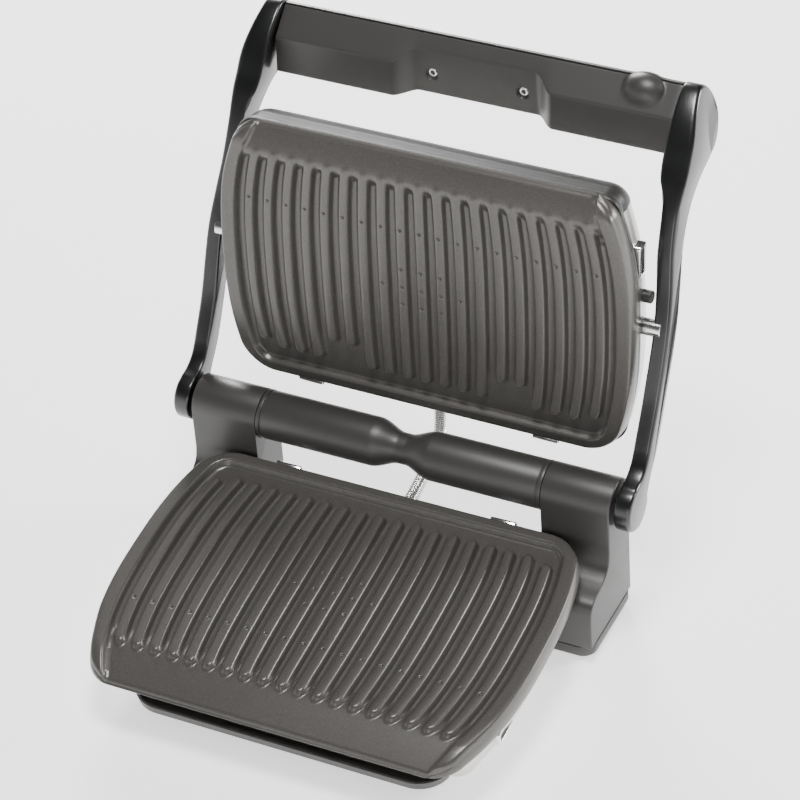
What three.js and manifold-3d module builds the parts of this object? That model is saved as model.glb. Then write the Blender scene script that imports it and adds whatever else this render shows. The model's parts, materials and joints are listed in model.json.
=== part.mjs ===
// Contact grill with two ribbed plates, shown open.  Millimetres, +Z up, +X to the right, -Y to the front.
// Everything is laid out around the deck point: the middle of the lower plate's rib tops.
import * as THREE from 'three';
import { mergeVertices } from 'three/addons/utils/BufferGeometryUtils.js';
import Module from 'manifold-3d';

// ---- driving dimensions ----------------------------------------------------
const PLATE_HALF_W = 160;      // widest half width of a plate rim
const PLATE_REAR = 102.5;      // rear edge of a plate
const PLATE_LIP_LOW = 117;     // reach of the lower plate's pouring lip
const PLATE_LIP_UP = 106;      // reach of the upper plate's lip
const PLATE_SKIRT = 13;        // depth of the plate's side wall
const RIM_W = 10.5;            // width of the flat rim
const RIB_COUNT = 19;
const RIB_PITCH = (PLATE_HALF_W - 23.2) * 2 / (RIB_COUNT - 1);
const RIB_TOP = 6.4;           // width of the flat top of a rib
const RIB_FOOT = 10.8;         // width of a rib at the floor
const RIB_HEIGHT = 5;
const BARREL = 0.085;          // how much the sides draw in towards the ends
const TILT = 7.4;              // forward fall of the lower deck, degrees
const LID_SWING = 126;         // lid travel from open to shut, degrees
const HEAD_FLOAT = 26;         // how far the upper head swings back on its pins
const PLATE_GAP = 1.5;         // rib top to rib top when shut
const HINGE_UP = 21;           // hinge axis above the deck
const PIVOT_UP = 22;           // head pin above the upper rib tops
const TUBE_R = 18.5;           // hinge tube
const TUBE_CLEAR = 6.5;        // between the tube and the plate's rear edge
const HINGE_BACK = PLATE_REAR + TUBE_CLEAR + TUBE_R;      // hinge axis behind the deck point, along the deck
const ARM_DRAWN = 127.5;       // reach of the head's pins that the arm's outline below is drawn for
const WAIST_R = 11.7;
const WAIST_HALF = 24;         // half length of the waist
const TOWER_IN = PLATE_HALF_W - 46.5;
const TOWER_OUT = PLATE_HALF_W + 6;
const FOOT_FRONT = 69;         // front face of the towers' feet
const ARM_THICK = 12.5;
const ARM_IN = PLATE_HALF_W + 9;
const CAP_IN = ARM_IN - 13.7;  // inner face of the arms' caps, where the handle ends
const PIN_R = 6.4;             // head pins
const STOP_R = 4.7;            // stop pins below them
const STOP = [-21, 28];        // stop pins, y and h on the head
const BASE_TOP = 10;           // height of the base pan
const PAN_HALF = PLATE_HALF_W - 42;
const TRAY_HALF = PLATE_HALF_W - 37;
const LATCH_Y = [-64, -38];
const LATCH_LOW = [PLATE_HALF_W - 16.6, PLATE_HALF_W - 7.1, -32.5, -20.5];   // x, x, h, h
const LATCH_UP = [PLATE_HALF_W - 10.5, PLATE_HALF_W - 1.6, 21, 33.5];
const SEAM = 158;              // seam between the handle's grip and cover, behind the hinge axis
const DOME = [CAP_IN - 28.3, 156, 240.5];          // round dome at the right-hand end of the handle
const KEYS = [31.3 - CAP_IN, 59.3 - CAP_IN];       // the two keys at the other end
const KEY_Z = 228.5;           // indicator and keys above the hinge axis
const SCREW = [35.5, 222];     // grip screws, x and z from the hinge axis
const NOSE_Y = -90;            // where the head's dark nose begins
const CONDUIT_X = -5;
const CONDUIT_R = 5.5;
const CONDUIT_LOW = -25;
const CONDUIT_HIGH = 34;
const BASE_DROP = 67;          // deck point to the bottom of the base
const FOOT_OUT = 3;            // how far the rubber feet stand proud
const SHELL = 1.5;             // wall of the steel housings
const GAP = 0.35;              // running clearance between neighbours
const DECK_Y = -90;            // puts the origin under the middle of the whole grill

const FLOOR = -(BASE_DROP + FOOT_OUT);
const rad = THREE.MathUtils.degToRad;

// ---- finishes ---------------------------------------------------------------
function finish(color, roughness, metalness) {
  return new THREE.MeshStandardMaterial({ color, roughness, metalness });
}
const NONSTICK = finish(0x74706b, 0.42, 0.35);
const PLASTIC = finish(0x4b4946, 0.5, 0.0);
const BLACK = finish(0x1d1f1f, 0.22, 0.0);
const STEEL = finish(0xc9c9c6, 0.3, 1.0);
const BRIGHT = finish(0xdcdcda, 0.16, 1.0);
const DARK = finish(0x262524, 0.45, 0.0);
const RUBBER = finish(0x1b1b1b, 0.9, 0.0);
const ELEMENT = finish(0x5c5a57, 0.5, 0.8);
const LENS = finish(0xd9dcdc, 0.2, 0.0);

// ---- solid helpers ------------------------------------------------------------
const wasm = await Module();
wasm.setup();

function toSolid(geometry) {
  const g = geometry.clone();
  g.deleteAttribute('normal');
  g.deleteAttribute('uv');
  const m = mergeVertices(g, 1e-4);
  const count = m.attributes.position.count;
  const index = m.index ? m.index.array : Uint32Array.from({ length: count }, (_, i) => i);
  return new wasm.Manifold(new wasm.Mesh({
    numProp: 3,
    vertProperties: new Float32Array(m.attributes.position.array),
    triVerts: new Uint32Array(index),
  }));
}

function toGeometry(solid) {
  const m = solid.getMesh();
  const g = new THREE.BufferGeometry();
  const p = new Float32Array((m.vertProperties.length / m.numProp) * 3);
  for (let i = 0; i < p.length / 3; i++) {
    for (let k = 0; k < 3; k++) p[i * 3 + k] = m.vertProperties[i * m.numProp + k];
  }
  g.setAttribute('position', new THREE.BufferAttribute(p, 3));
  g.setIndex(new THREE.BufferAttribute(new Uint32Array(m.triVerts), 1));
  return g;
}

const join = (...list) => toGeometry(list.map(toSolid).reduce((a, b) => a.add(b)));
const cut = (from, ...tools) => toGeometry(tools.map(toSolid).reduce((a, b) => a.subtract(b), toSolid(from)));
const common = (a, b) => toGeometry(toSolid(a).intersect(toSolid(b)));

// Rings of equal length, stitched in order and closed by flat fans of triangles.
function loft(rings) {
  const n = rings[0].length;
  const p = rings.flat(2);
  const index = [];
  for (let r = 0; r + 1 < rings.length; r++) {
    for (let i = 0; i < n; i++) {
      const a = r * n + i, b = r * n + (i + 1) % n;
      index.push(a, b, b + n, a, b + n, a + n);
    }
  }
  const last = (rings.length - 1) * n;
  const flat = (ring) => {
    const c = ring.map((q) => new THREE.Vector3(...q));
    const w = c[1].clone().sub(c[0]).cross(c[2].clone().sub(c[1]));
    let normal = new THREE.Vector3();
    c.forEach((q, i) => normal.add(q.clone().cross(c[(i + 1) % n])));
    if (normal.length() < 1e-9) normal = w;
    normal.normalize();
    const u = Math.abs(normal.x) > 0.9 ? new THREE.Vector3(0, 1, 0) : new THREE.Vector3(1, 0, 0);
    u.sub(normal.clone().multiplyScalar(u.dot(normal))).normalize();
    const v = normal.clone().cross(u);
    return THREE.ShapeUtils.triangulateShape(c.map((q) => new THREE.Vector2(q.dot(u), q.dot(v))), []);
  };
  flat(rings[0]).forEach(([a, b, c]) => index.push(a, c, b));
  flat(rings[rings.length - 1]).forEach(([a, b, c]) => index.push(last + a, last + b, last + c));
  const g = new THREE.BufferGeometry();
  g.setAttribute('position', new THREE.Float32BufferAttribute(p, 3));
  g.setIndex(index);
  return g;
}

// A counter-clockwise [y, z] outline pushed along X.
const prismX = (yz, x0, x1) => loft([x0, x1].map((x) => yz.map(([y, z]) => [x, y, z])));
// A counter-clockwise [x, y] outline pushed along Z.
const prismZ = (xy, z0, z1) => loft([z0, z1].map((z) => xy.map(([x, y]) => [x, y, z])));
const block = (x0, x1, y0, y1, z0, z1) => prismZ([[x0, y0], [x1, y0], [x1, y1], [x0, y1]], z0, z1);

function rodX(x0, x1, y, z, r, sides = 28, r2 = r) {
  const g = new THREE.CylinderGeometry(r2, r, x1 - x0, sides);
  g.rotateZ(-Math.PI / 2);
  return g.translate((x0 + x1) / 2, y, z);
}
function rodY(y0, y1, x, z, r, sides = 24, r2 = r) {
  return new THREE.CylinderGeometry(r2, r, y1 - y0, sides).translate(x, (y0 + y1) / 2, z);
}
function rodZ(z0, z1, x, y, r, sides = 24, r2 = r) {
  const g = new THREE.CylinderGeometry(r2, r, z1 - z0, sides);
  return g.rotateX(Math.PI / 2).translate(x, y, (z0 + z1) / 2);
}
// A round bar along a list of points.
function bar(points, r, steps, sides = 8, closed = false) {
  const path = new THREE.CatmullRomCurve3(points.map((q) => new THREE.Vector3(...q)), closed, 'centripetal');
  const frames = path.computeFrenetFrames(steps, closed);
  const rings = [];
  for (let i = 0; i <= steps; i++) {
    const c = path.getPointAt(i / steps);
    rings.push(Array.from({ length: sides }, (_, k) => {
      const a = (k / sides) * 2 * Math.PI;
      return c.clone().addScaledVector(frames.normals[i], r * Math.cos(a))
        .addScaledVector(frames.binormals[i], r * Math.sin(a)).toArray();
    }));
  }
  return loft(rings);
}
const mirror = (g) => {
  const m = g.clone();
  const p = m.attributes.position;
  for (let i = 0; i < p.count; i++) p.setX(i, -p.getX(i));
  const k = m.index.array.slice();
  for (let i = 0; i < k.length; i += 3) [k[i + 1], k[i + 2]] = [k[i + 2], k[i + 1]];
  m.setIndex(new THREE.BufferAttribute(k, 1));
  return m;
};

// ---- frames ---------------------------------------------------------------------
const turn = (angle, y, h) => {
  const a = rad(angle);
  return [y * Math.cos(a) - h * Math.sin(a), y * Math.sin(a) + h * Math.cos(a)];
};
const HINGE = turn(TILT, HINGE_BACK, HINGE_UP);
const REACH = HINGE_BACK / ARM_DRAWN;
const PIVOT = (() => {
  const [dy, dz] = turn(TILT - LID_SWING, -HINGE_BACK, PLATE_GAP + PIVOT_UP - HINGE_UP);
  return [HINGE[0] + dy, HINGE[1] + dz];
})();
// deck: x, y, height above the lower rib tops
const onDeck = (g) => g.clone().rotateX(rad(TILT));
// head: x, y, height above the upper rib tops as if shut; shown swung open about its pins
const onHead = (g) => g.clone().translate(0, 0, -PIVOT_UP)
  .rotateX(rad(TILT - LID_SWING + HEAD_FLOAT)).translate(0, PIVOT[0], PIVOT[1]);
// lid: y and z counted from the hinge axis, as shown
const onLid = (g) => g.clone().translate(0, HINGE[0], HINGE[1]);

// ---- plates -----------------------------------------------------------------------
const drawIn = (y) => 1 - BARREL * Math.abs((y - 2) / 95) ** 2.6;

// Plan outline of a plate, drawn in by `inset` at the sides and rear, and ending at -front.
function outline(inset, front, corner = 21, frontCorner = 14) {
  const rear = PLATE_REAR - inset * 0.72;
  const half = (y) => PLATE_HALF_W * drawIn(y) - inset;
  const rc = Math.max(corner - inset, 4), fc = Math.max(frontCorner, 2);
  const arc = (cx, cy, r, from, to, n) => Array.from({ length: n + 1 }, (_, k) => {
    const a = rad(from + (to - from) * k / n);
    return [cx + r * Math.cos(a), cy + r * Math.sin(a)];
  });
  const side = arc(half(-front + fc) - fc, -front + fc, fc, -90, 0, 3);
  for (const t of [0.17, 0.34, 0.51, 0.68, 0.84]) {
    const y = -front + fc + (rear - rc + front - fc) * t;
    side.push([half(y), y]);
  }
  side.push(...arc(half(rear - rc) - rc, rear - rc, rc, 0, 90, 4));
  return side.concat(side.slice().reverse().map(([x, y]) => [-x, y]));
}
const ring = (inset, front, h) => outline(inset, front).map(([x, y]) => [x, y, h]);

// One rib: a flat-topped bar that follows the barrel of the plate and rolls down at both ends.
function rib(i, rear, front) {
  const x0 = (i - (RIB_COUNT - 1) / 2) * RIB_PITCH;
  const low = -RIB_HEIGHT - 1.6;
  const run = rear - 4 + front - 8;
  const stations = [
    [-front - 2.6, -RIB_HEIGHT - 0.9, 0.55], [-front, -2.6, 0.8], [-front + 3.5, -0.6, 0.95],
    [-front + 8, 0, 1],
    ...[0.14, 0.34, 0.56, 0.8].map((t) => [-front + 8 + run * t, 0, 1]),
    [rear - 4, 0, 1], [rear - 1, -0.5, 0.85], [rear + 0.8, -2.4, 0.55], [rear + 2, -RIB_HEIGHT - 0.9, 0.3],
  ];
  return loft(stations.map(([y, h, w]) => {
    const x = x0 * drawIn(y), t = RIB_TOP / 2 * w;
    const f = t + (RIB_FOOT - RIB_TOP) / 2 * (h - low) / RIB_HEIGHT;
    return [[x - f, y, low], [x - t, y, h], [x + t, y, h], [x + f, y, low]];
  }));
}

// A plate lying with its ribs up at height 0: rim, ribbed floor, and an apron that pours over the front.
function plate(lip, shortRibs) {
  const reach = lip + 6, wide = PLATE_HALF_W + 9;
  const body = loft([
    ring(-1.5, lip - 1, -PLATE_SKIRT), ring(-1.3, lip, -PLATE_SKIRT + 1.2), ring(0, lip, -1.2),
    ring(1.2, lip - 1, 0),
  ]);
  const under = loft([ring(4, 84, -PLATE_SKIRT - 1), ring(5, 83, -RIB_HEIGHT - 4)]);
  const pocket = loft([ring(RIM_W + 2.4, 96, -RIB_HEIGHT), ring(RIM_W - 1, 96, 1)]);
  const mouth = PLATE_HALF_W * drawIn(-104) - RIM_W - 1;
  const apron = prismX([
    [-reach, -12.2], [-lip, -11.6], [-lip + 4, -8.8], [-92, -6.3], [-88, -RIB_HEIGHT], [-88, 3],
    [-reach, 3],
  ], -mouth, mouth);
  const fallen = [[-reach, -11], [-lip, -8], [-104, -2.4], [-95, 0], [-95, 3], [-reach, 3]];
  const fall = prismX(fallen, -wide, wide);
  let solid = [under, pocket, apron, fall].reduce((a, t) => a.subtract(toSolid(t)), toSolid(body));
  for (let i = 0; i < RIB_COUNT; i++) {
    const outer = i === 0 || i === RIB_COUNT - 1 ? 25 : 20.5;
    solid = solid.add(toSolid(rib(i, PLATE_REAR - (shortRibs.includes(i) ? 37.5 : outer), 89)));
  }
  return toGeometry(solid);
}

// The same outline with straight walls, from one height to another.
const slab = (inset, front, h0, h1) => prismZ(outline(inset, front), h0, h1);

// ---- base ---------------------------------------------------------------------------
const above = (z) => block(-400, 400, -400, 400, z, 400);
// inset, front reach and height of the lower housing's rings
const HOUSING = [
  [1.8, 106, -PLATE_SKIRT - GAP], [2.4, 104, -18], [4.5, 101, -25], [7.5, 97, -34], [12, 91, -42],
  [20, 83, -50], [32, 72, -60], [44, 60, -BASE_DROP - 5],
];

function towerSide() {
  const [hy, hz] = HINGE, front = hy - TUBE_R, rear = hy + TUBE_R, foot = -BASE_DROP + BASE_TOP + GAP;
  const dome = Array.from({ length: 13 }, (_, k) => {
    const a = rad(k * 15);
    return [hy + TUBE_R * Math.cos(a), hz + TUBE_R * Math.sin(a)];
  });
  return [
    [FOOT_FRONT, foot], [rear, foot], ...dome, [front, 2], [front - 1.2, -5], [front - 5, -10.5],
    [FOOT_FRONT + 23, -12.6], [FOOT_FRONT + 11, -13.6], [FOOT_FRONT + 3, -17], [FOOT_FRONT, -24],
  ];
}

// Moves every corner of a closed outline inwards by d.
function shrink(poly, d) {
  const n = poly.length;
  return poly.map((p, i) => {
    const a = poly[(i + n - 1) % n], b = poly[(i + 1) % n];
    const u = [p[0] - a[0], p[1] - a[1]], v = [b[0] - p[0], b[1] - p[1]];
    const lu = Math.hypot(...u), lv = Math.hypot(...v);
    const m = [-(u[1] / lu + v[1] / lv), u[0] / lu + v[0] / lv];
    const k = d / Math.max(0.35, (m[0] * m[0] + m[1] * m[1]) / 2);
    return [p[0] + m[0] * k, p[1] + m[1] * k];
  });
}

function tower() {
  const side = towerSide();
  const rings = [[TOWER_IN, 0], [TOWER_OUT - 7, 0], [TOWER_OUT - 2.5, 1.8], [TOWER_OUT, 5.5]];
  const foot = -BASE_DROP + BASE_TOP + GAP;
  const body = loft(rings.map(([x, d]) => (d ? shrink(side, d) : side)
    .map(([y, z]) => [x, Math.max(y, FOOT_FRONT), Math.max(z, foot)])));
  return cut(body, rodX(TOWER_IN - 5, TOWER_OUT + 5, ...HINGE, 5.5));
}

function basePan() {
  const z0 = -BASE_DROP, z1 = -BASE_DROP + BASE_TOP, rear = HINGE[0] + TUBE_R;
  const wide = TOWER_OUT, p = PAN_HALF, f = FOOT_FRONT;
  const half = [
    [p - 2, -38], [p, -30], [p, f - 3], [p + 4, f], [wide - 12, f], [wide - 3, f + 4], [wide, f + 13],
    [wide, rear - 6], [wide - 2, rear - 2], [wide - 6, rear],
  ];
  const xy = half.concat(half.slice().reverse().map(([x, y]) => [-x, y]));
  const small = (d) => xy.map(([x, y]) => [x - Math.sign(x) * d, y + (y < 70 ? d * 0.6 : -d * 0.6)]);
  const at = (outline, z) => outline.map(([x, y]) => [x, y, z]);
  return loft([at(small(2.5), z0), at(xy, z0 + 2.5), at(xy, z1)]);
}

function lowerHousing() {
  const floor = -BASE_DROP + BASE_TOP + GAP;
  const wall = (grow) => HOUSING.map(([i, f, h], k) => ring(i + grow, f - grow, k || !grow ? h : h + 3));
  const outer = onDeck(loft(wall(0).reverse()));
  const inner = onDeck(loft(wall(SHELL).reverse()));
  const hollow = toSolid(inner).intersect(toSolid(above(floor + SHELL)));
  const shell = toSolid(outer).intersect(toSolid(above(floor))).subtract(hollow);
  const notch = block(TOWER_IN - GAP, TOWER_OUT + 40, FOOT_FRONT - GAP, 200, -100, 60);
  const hose = rodY(70, PLATE_REAR + 30, CONDUIT_X, CONDUIT_LOW, CONDUIT_R + 3.3);
  const window = onDeck(latchWindow(LATCH_LOW, GAP));
  return cut(toGeometry(shell), notch, mirror(notch), hose, window);
}

// A waisted tube that closes round the shaft between the towers.
function hingeTube() {
  const end = TOWER_IN - GAP, w = WAIST_HALF;
  const half = [
    [w * 0.2, WAIST_R], [w * 0.42, WAIST_R + 1.2], [w * 0.66, TUBE_R - 3.6], [w - 3, TUBE_R - 0.9],
    [w + 2, TUBE_R], [end - 0.8, TUBE_R], [end, TUBE_R - 0.8], [end, 0],
  ];
  const profile = half.slice().reverse().map(([x, r]) => [-x, r]).concat(half);
  const g = new THREE.LatheGeometry(profile.map(([x, r]) => new THREE.Vector2(Math.max(r, 1e-6), x)), 32);
  g.rotateZ(-Math.PI / 2);
  return cut(g.translate(0, ...HINGE), rodX(-TOWER_IN - 5, TOWER_IN + 5, ...HINGE, 5.5));
}

// An upright tab of sheet metal behind the plate's rear wall.
// y behind the plate's rear edge, and h
const CLIP = [[1.6, -20], [2.7, -20], [2.7, -1.4], [3.9, -0.2], [3.3, 0.6], [1.6, -1]];
const clip = (x) => prismX(CLIP.map(([y, h]) => [PLATE_REAR + y, h]), x - 9.6, x + 9.6);

// Release latch: a frame let into the right-hand wall and a button that is pressed inwards.
const latchWindow = ([x0, x1, h0, h1], grow = 0) => block(
  x0 - 40, x1 + 40, LATCH_Y[0] - grow, LATCH_Y[1] + grow, h0 - grow, h1 + grow);
function latchFrame([x0, x1, h0, h1]) {
  const inside = block(x0 - 1, x1 + 1, LATCH_Y[0] + 3, LATCH_Y[1] - 3, h0 + 2.8, h1 - 2.8);
  return cut(block(x0, x1, ...LATCH_Y, h0, h1), inside);
}
function latchButton([x0, x1, h0, h1]) {
  const y0 = LATCH_Y[0] + 3.4, y1 = LATCH_Y[1] - 3.4, a = h0 + 3.2, b = h1 - 3.2;
  const face = ([x, d]) => [[x, y0 + d, a + d], [x, y1 - d, a + d], [x, y1 - d, b - d], [x, y0 + d, b - d]];
  return loft([[x0 + 1, 0], [x1 - 1.4, 0], [x1 - 0.7, 0.7]].map(face));
}

// Heating loop under a plate, with its two ends turned to the rear.
function element(h) {
  const right = [
    [0.31, -66], [0.675, -56], [0.775, 0], [0.69, 34], [0.375, 34], [0.15, 40], [0.14, 60],
  ].map(([x, y]) => [x * PLATE_HALF_W, y, h]);
  const left = right.map(([x, y, z]) => [-x, y, z]).reverse();
  return bar([...left, [0, -67, h], ...right], 3.4, 54, 8);
}

function dripTray() {
  const left = [[0, -42], [0, -78], [4, -89], [15, -95.5], [27, -98]].map(([x, y]) => [x - TRAY_HALF, y]);
  const front = left.concat(left.slice().reverse().map(([x, y]) => [-x, y]));
  const scale = (d) => front.map(([x, y]) => [x * (1 - d / TRAY_HALF), y < -60 ? y + d : y - d]);
  const z0 = -BASE_DROP + 1, z1 = -BASE_DROP + 9.2;
  const layer = (d, z) => scale(d).map(([x, y]) => [x, y, z]);
  const well = loft([layer(5, z0 + 2), layer(2, z1 + 1)]);
  return cut(loft([layer(3, z0), layer(1, z0 + 2), layer(0, z1)]), well);
}

// ---- lid --------------------------------------------------------------------------------
// Front and rear edge of an arm from the hinge to its cap (y, z from the hinge axis), and how far its inner
// and outer face are shifted there.  The arms and the handle reach out as far as the head's pins ask.
const ARM = [
  [2, 13, 15, 0, 0, 0], [16.4, 23, 34.8, 22, 0, 0], [23.4, 38, 41.4, 37, 0, 0], [37.5, 63, 56.1, 62, 0, 0],
  [48.5, 88, 66.6, 87, 0.5, 0.3], [59.2, 113, 77.3, 112, 0.5, 0], [71.2, 138, 88.2, 135, -2, -2.2],
  [82, 163, 100, 158, -5, -5.1], [93.5, 188, 117, 180, -6.2, -6.5], [103.3, 203, 137, 192, -8, -6],
  [111.5, 213, 154, 197, -12, -5.5], [121, 227, 166, 203, -13.7, -5.5], [133, 240, 170, 214, -13.7, -6],
  [145, 249, 171, 228, -13.7, -8.5], [155, 253.5, 168, 243, -13.7, -13],
];
function arm() {
  const c = 2.6;
  const rings = ARM.map(([fy, fz, ry, rz, a, b]) => {
    const x0 = ARM_IN + a, x1 = ARM_IN + ARM_THICK + b;
    const l = Math.hypot(ry - fy, rz - fz), u = [(ry - fy) / l, (rz - fz) / l];
    const my = (fy + ry) / 2 * REACH, mz = (fz + rz) / 2 * REACH;
    const at = (x, s) => [x, my + u[0] * (s - l / 2), mz + u[1] * (s - l / 2)];
    return [
      at(x1 - c, 0), at(x1, c), at(x1, l - c), at(x1 - c, l),
      at(x0 + c, l), at(x0, l - c), at(x0, c), at(x0 + c, 0),
    ];
  });
  const out = ARM_IN + ARM_THICK, r = TUBE_R - 0.5;
  const boss = join(rodX(ARM_IN, out - 2.5, 0, 0, r, 36), rodX(out - 2.6, out, 0, 0, r, 36, r - 2.5));
  const hole = rodX(ARM_IN - 5, ARM_IN + 8, PIVOT[0] - HINGE[0], PIVOT[1] - HINGE[1], PIN_R + GAP, 24);
  return onLid(cut(join(loft(rings), boss), hole));
}
// Handle section, y and z from the hinge axis: grip towards the viewer, cover behind it.
const GRIP = [
  [134, 206], [136, 205], [SEAM - 0.15, 204.5], [SEAM - 0.15, 251.6], [155.5, 250.8], [139.5, 235],
  [137.6, 231.5],
];
const COVER = [
  [SEAM + 0.15, 204.5], [162, 206], [167.5, 212], [169, 217], [169, 240], [167, 244.5], [161.5, 250.5],
  [SEAM + 0.15, 251.6],
];
const dome = () => new THREE.SphereGeometry(1, 32, 20).scale(16.5, 13.5, 13.5).translate(...DOME);
const onHandle = (g) => onLid(g.clone().translate(0, (REACH - 1) * 152, (REACH - 1) * 228));

function grip() {
  const x = CAP_IN - GAP;
  const recess = loft([[151, 46.5, 42.5, 236.5], [127, 64, 60, 246]].map(([y, low, high, top]) => [
    [-low, y, 196], [low, y, 196], [high, y, top], [-high, y, top],
  ]));
  const front = common(dome(), block(0, 400, 100, SEAM - 0.15, 100, 300));
  const screwHoles = [-SCREW[0], SCREW[0]].map((sx) => rodY(145, 154, sx, SCREW[1], 4.6));
  return onHandle(cut(join(prismX(GRIP, -x, x), front), recess, ...screwHoles));
}

function cover() {
  const x = CAP_IN - GAP;
  const back = common(dome(), block(0, 400, SEAM + 0.15, 200, 100, 300));
  const seat = rodY(167, 175, DOME[0], KEY_Z, 14.6, 32);
  const keys = KEYS.map((kx) => rodY(164, 175, kx, KEY_Z, 8.4, 24));
  return onHandle(cut(join(prismX(COVER, -x, x), back), seat, ...keys));
}
function ringLight() {
  const well = rodY(169, 172, DOME[0], KEY_Z, 11.6, 32);
  return onHandle(cut(rodY(167.3, 170.6, DOME[0], KEY_Z, 14.2, 32), well));
}
const lens = () => onHandle(rodY(169.3, 170.4, DOME[0], KEY_Z, 11.2, 32));
const key = (x) => onHandle(rodY(166.4, 170.4, x, KEY_Z, 7.9, 24));
function gripScrew([x, z]) {
  return onHandle(cut(rodY(151.6, 153.7, x, z, 4.1, 20), rodY(151, 152.4, x, z, 1.8, 6)));
}

// ---- head ---------------------------------------------------------------------------------
const CROWN = [[1.6, 104, 20 + GAP], [1.4, 104, 28], [4, 101, 38], [10, 95, 46], [20, 86, 52], [36, 72, 55]];
function crown(grow) {
  return loft(CROWN.map(([i, f, h], k) => ring(i + grow, f - grow, h - (k || !grow ? grow * 0.8 : 2))));
}
function pinHoles() {
  const x0 = PLATE_HALF_W - 20, x1 = ARM_IN + 11;
  const right = [rodX(x0, x1, 0, PIVOT_UP, PIN_R + GAP), rodX(x0, x1, ...STOP, STOP_R + GAP)];
  return right.concat(right.map(mirror));
}
function upperHousing() {
  const hose = rodY(80, PLATE_REAR + 20, CONDUIT_X, CONDUIT_HIGH, CONDUIT_R + 3.3);
  const front = block(-400, 400, -200, NOSE_Y, 0, 100);
  return onHead(cut(crown(0), crown(SHELL), front, ...pinHoles(), hose, latchWindow(LATCH_UP, GAP)));
}
function upperNose() {
  const inner = loft([ring(6, 99, 22.5), ring(6, 99, 28), ring(9, 96, 37), ring(14, 90, 44)]);
  return onHead(cut(common(crown(0), block(-400, 400, -200, NOSE_Y - GAP, 0, 100)), inner));
}
function upperFrame() {
  const low = PLATE_SKIRT + GAP;
  const body = loft([ring(-0.9, 105, low), ring(-0.6, 106, low + 1.65), ring(0.6, 105.5, 20)]);
  return onHead(cut(body, slab(9, 96, 0, 30), ...pinHoles()));
}
// A pin with a head inside the side wall of the head.
function pin(x0, x1, y, h, r) {
  return onHead(join(rodX(x0, x0 + 3, y, h, r + 2.7), rodX(x0 + 2.5, x1, y, h, r)));
}
const pivotPin = () => pin(PLATE_HALF_W - 14, ARM_IN + 6, 0, PIVOT_UP, PIN_R);
const stopPin = () => pin(PLATE_HALF_W - 13, ARM_IN - 2.4, ...STOP, STOP_R);

// ---- flexible conduit -----------------------------------------------------------------------
const headPoint = (y, h) => {
  const [dy, dz] = turn(TILT - LID_SWING + HEAD_FLOAT, y, h - PIVOT_UP);
  return [CONDUIT_X, PIVOT[0] + dy, PIVOT[1] + dz];
};
// It leaves the base under the tube, rises behind it and comes down into the rear of the head.
function conduit() {
  const behind = [[15.3, -58.2], [33.3, -53.7], [52.3, -47.2], [65.3, -37.2]];   // y, z from the hinge axis
  return bar([
    [CONDUIT_X, PLATE_REAR - 9.5, CONDUIT_LOW], [CONDUIT_X, PLATE_REAR + 9.5, CONDUIT_LOW],
    ...behind.map(([y, z]) => [CONDUIT_X, HINGE[0] + y, HINGE[1] + z]),
    ...[31.5, 9.5, -8.5].map((y) => headPoint(PLATE_REAR + y, CONDUIT_HIGH)),
  ], CONDUIT_R, 26, 12);
}
const gland = (y0, y1, h, slack) => cut(
  rodY(y0, y1, CONDUIT_X, h, CONDUIT_R + 2.9), rodY(y0 - 6, y1 + 6, CONDUIT_X, h, CONDUIT_R + slack));

// ---- assembly ---------------------------------------------------------------------------------
const grill = new THREE.Group();
grill.name = 'contact_grill';
function add(name, geometry, material) {
  const g = geometry.index ? geometry.toNonIndexed() : geometry.clone();
  g.deleteAttribute('uv');
  g.translate(0, DECK_Y, -FLOOR);
  g.computeVertexNormals();
  const mesh = new THREE.Mesh(g, material);
  mesh.name = name;
  grill.add(mesh);
}
const pair = (name, geometry, material) => {
  add(`${name}_right`, geometry, material);
  add(`${name}_left`, mirror(geometry), material);
};

add('base_pan', basePan(), PLASTIC);
add('lower_housing', lowerHousing(), STEEL);
pair('tower', tower(), PLASTIC);
add('hinge_tube', hingeTube(), PLASTIC);
const foot = (x, y) => rodZ(FLOOR, -BASE_DROP - GAP, x, y, 8, 20, 9);
pair('foot_front', foot(PAN_HALF - 20, -22), RUBBER);
pair('foot_rear', foot(TOWER_OUT - 20, HINGE[0] + 7), RUBBER);
const ahead = block(-400, 400, -200, FOOT_FRONT - 3, -100, 100);
add('lower_reflector', common(onDeck(slab(16, 92, -27, -26)), ahead), STEEL);
add('lower_element', onDeck(element(-18)), ELEMENT);
pair('lower_clip', onDeck(clip(TOWER_IN - 28.1)), BRIGHT);
add('lower_latch_frame', onDeck(latchFrame(LATCH_LOW)), BRIGHT);
add('lower_latch', onDeck(latchButton(LATCH_LOW)), DARK);
const rear = HINGE[0] + TUBE_R, cordZ = -BASE_DROP + 5;
const bore = rodY(rear + 2, rear + 20, 60, cordZ, 3, 16);
const bush = cut(rodY(rear + GAP, rear + 8, 60, cordZ, 4.6, 20, 5), bore);
add('cord_inlet', bush, RUBBER);
add('drip_tray', dripTray(), PLASTIC);
add('tray_strip', block(-48, 64, -87, -84.6, -BASE_DROP + 3 + GAP, -BASE_DROP + 6.4), BRIGHT);
add('lower_plate', onDeck(plate(PLATE_LIP_LOW, [])), NONSTICK);
add('conduit', conduit(), BRIGHT);
add('conduit_gland_base', gland(PLATE_REAR - 8.5, PLATE_REAR + 1.5, CONDUIT_LOW, 1), DARK);

pair('arm', arm(), BLACK);
add('shaft', rodX(-ARM_IN + GAP, ARM_IN - GAP, ...HINGE, 5), BRIGHT);
add('handle_grip', grip(), PLASTIC);
add('handle_cover', cover(), PLASTIC);
pair('grip_screw', gripScrew(SCREW), BRIGHT);
add('indicator_ring', ringLight(), BRIGHT);
add('indicator_lens', lens(), LENS);
add('key_power', key(KEYS[0]), DARK);
add('key_start', key(KEYS[1]), DARK);

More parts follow.
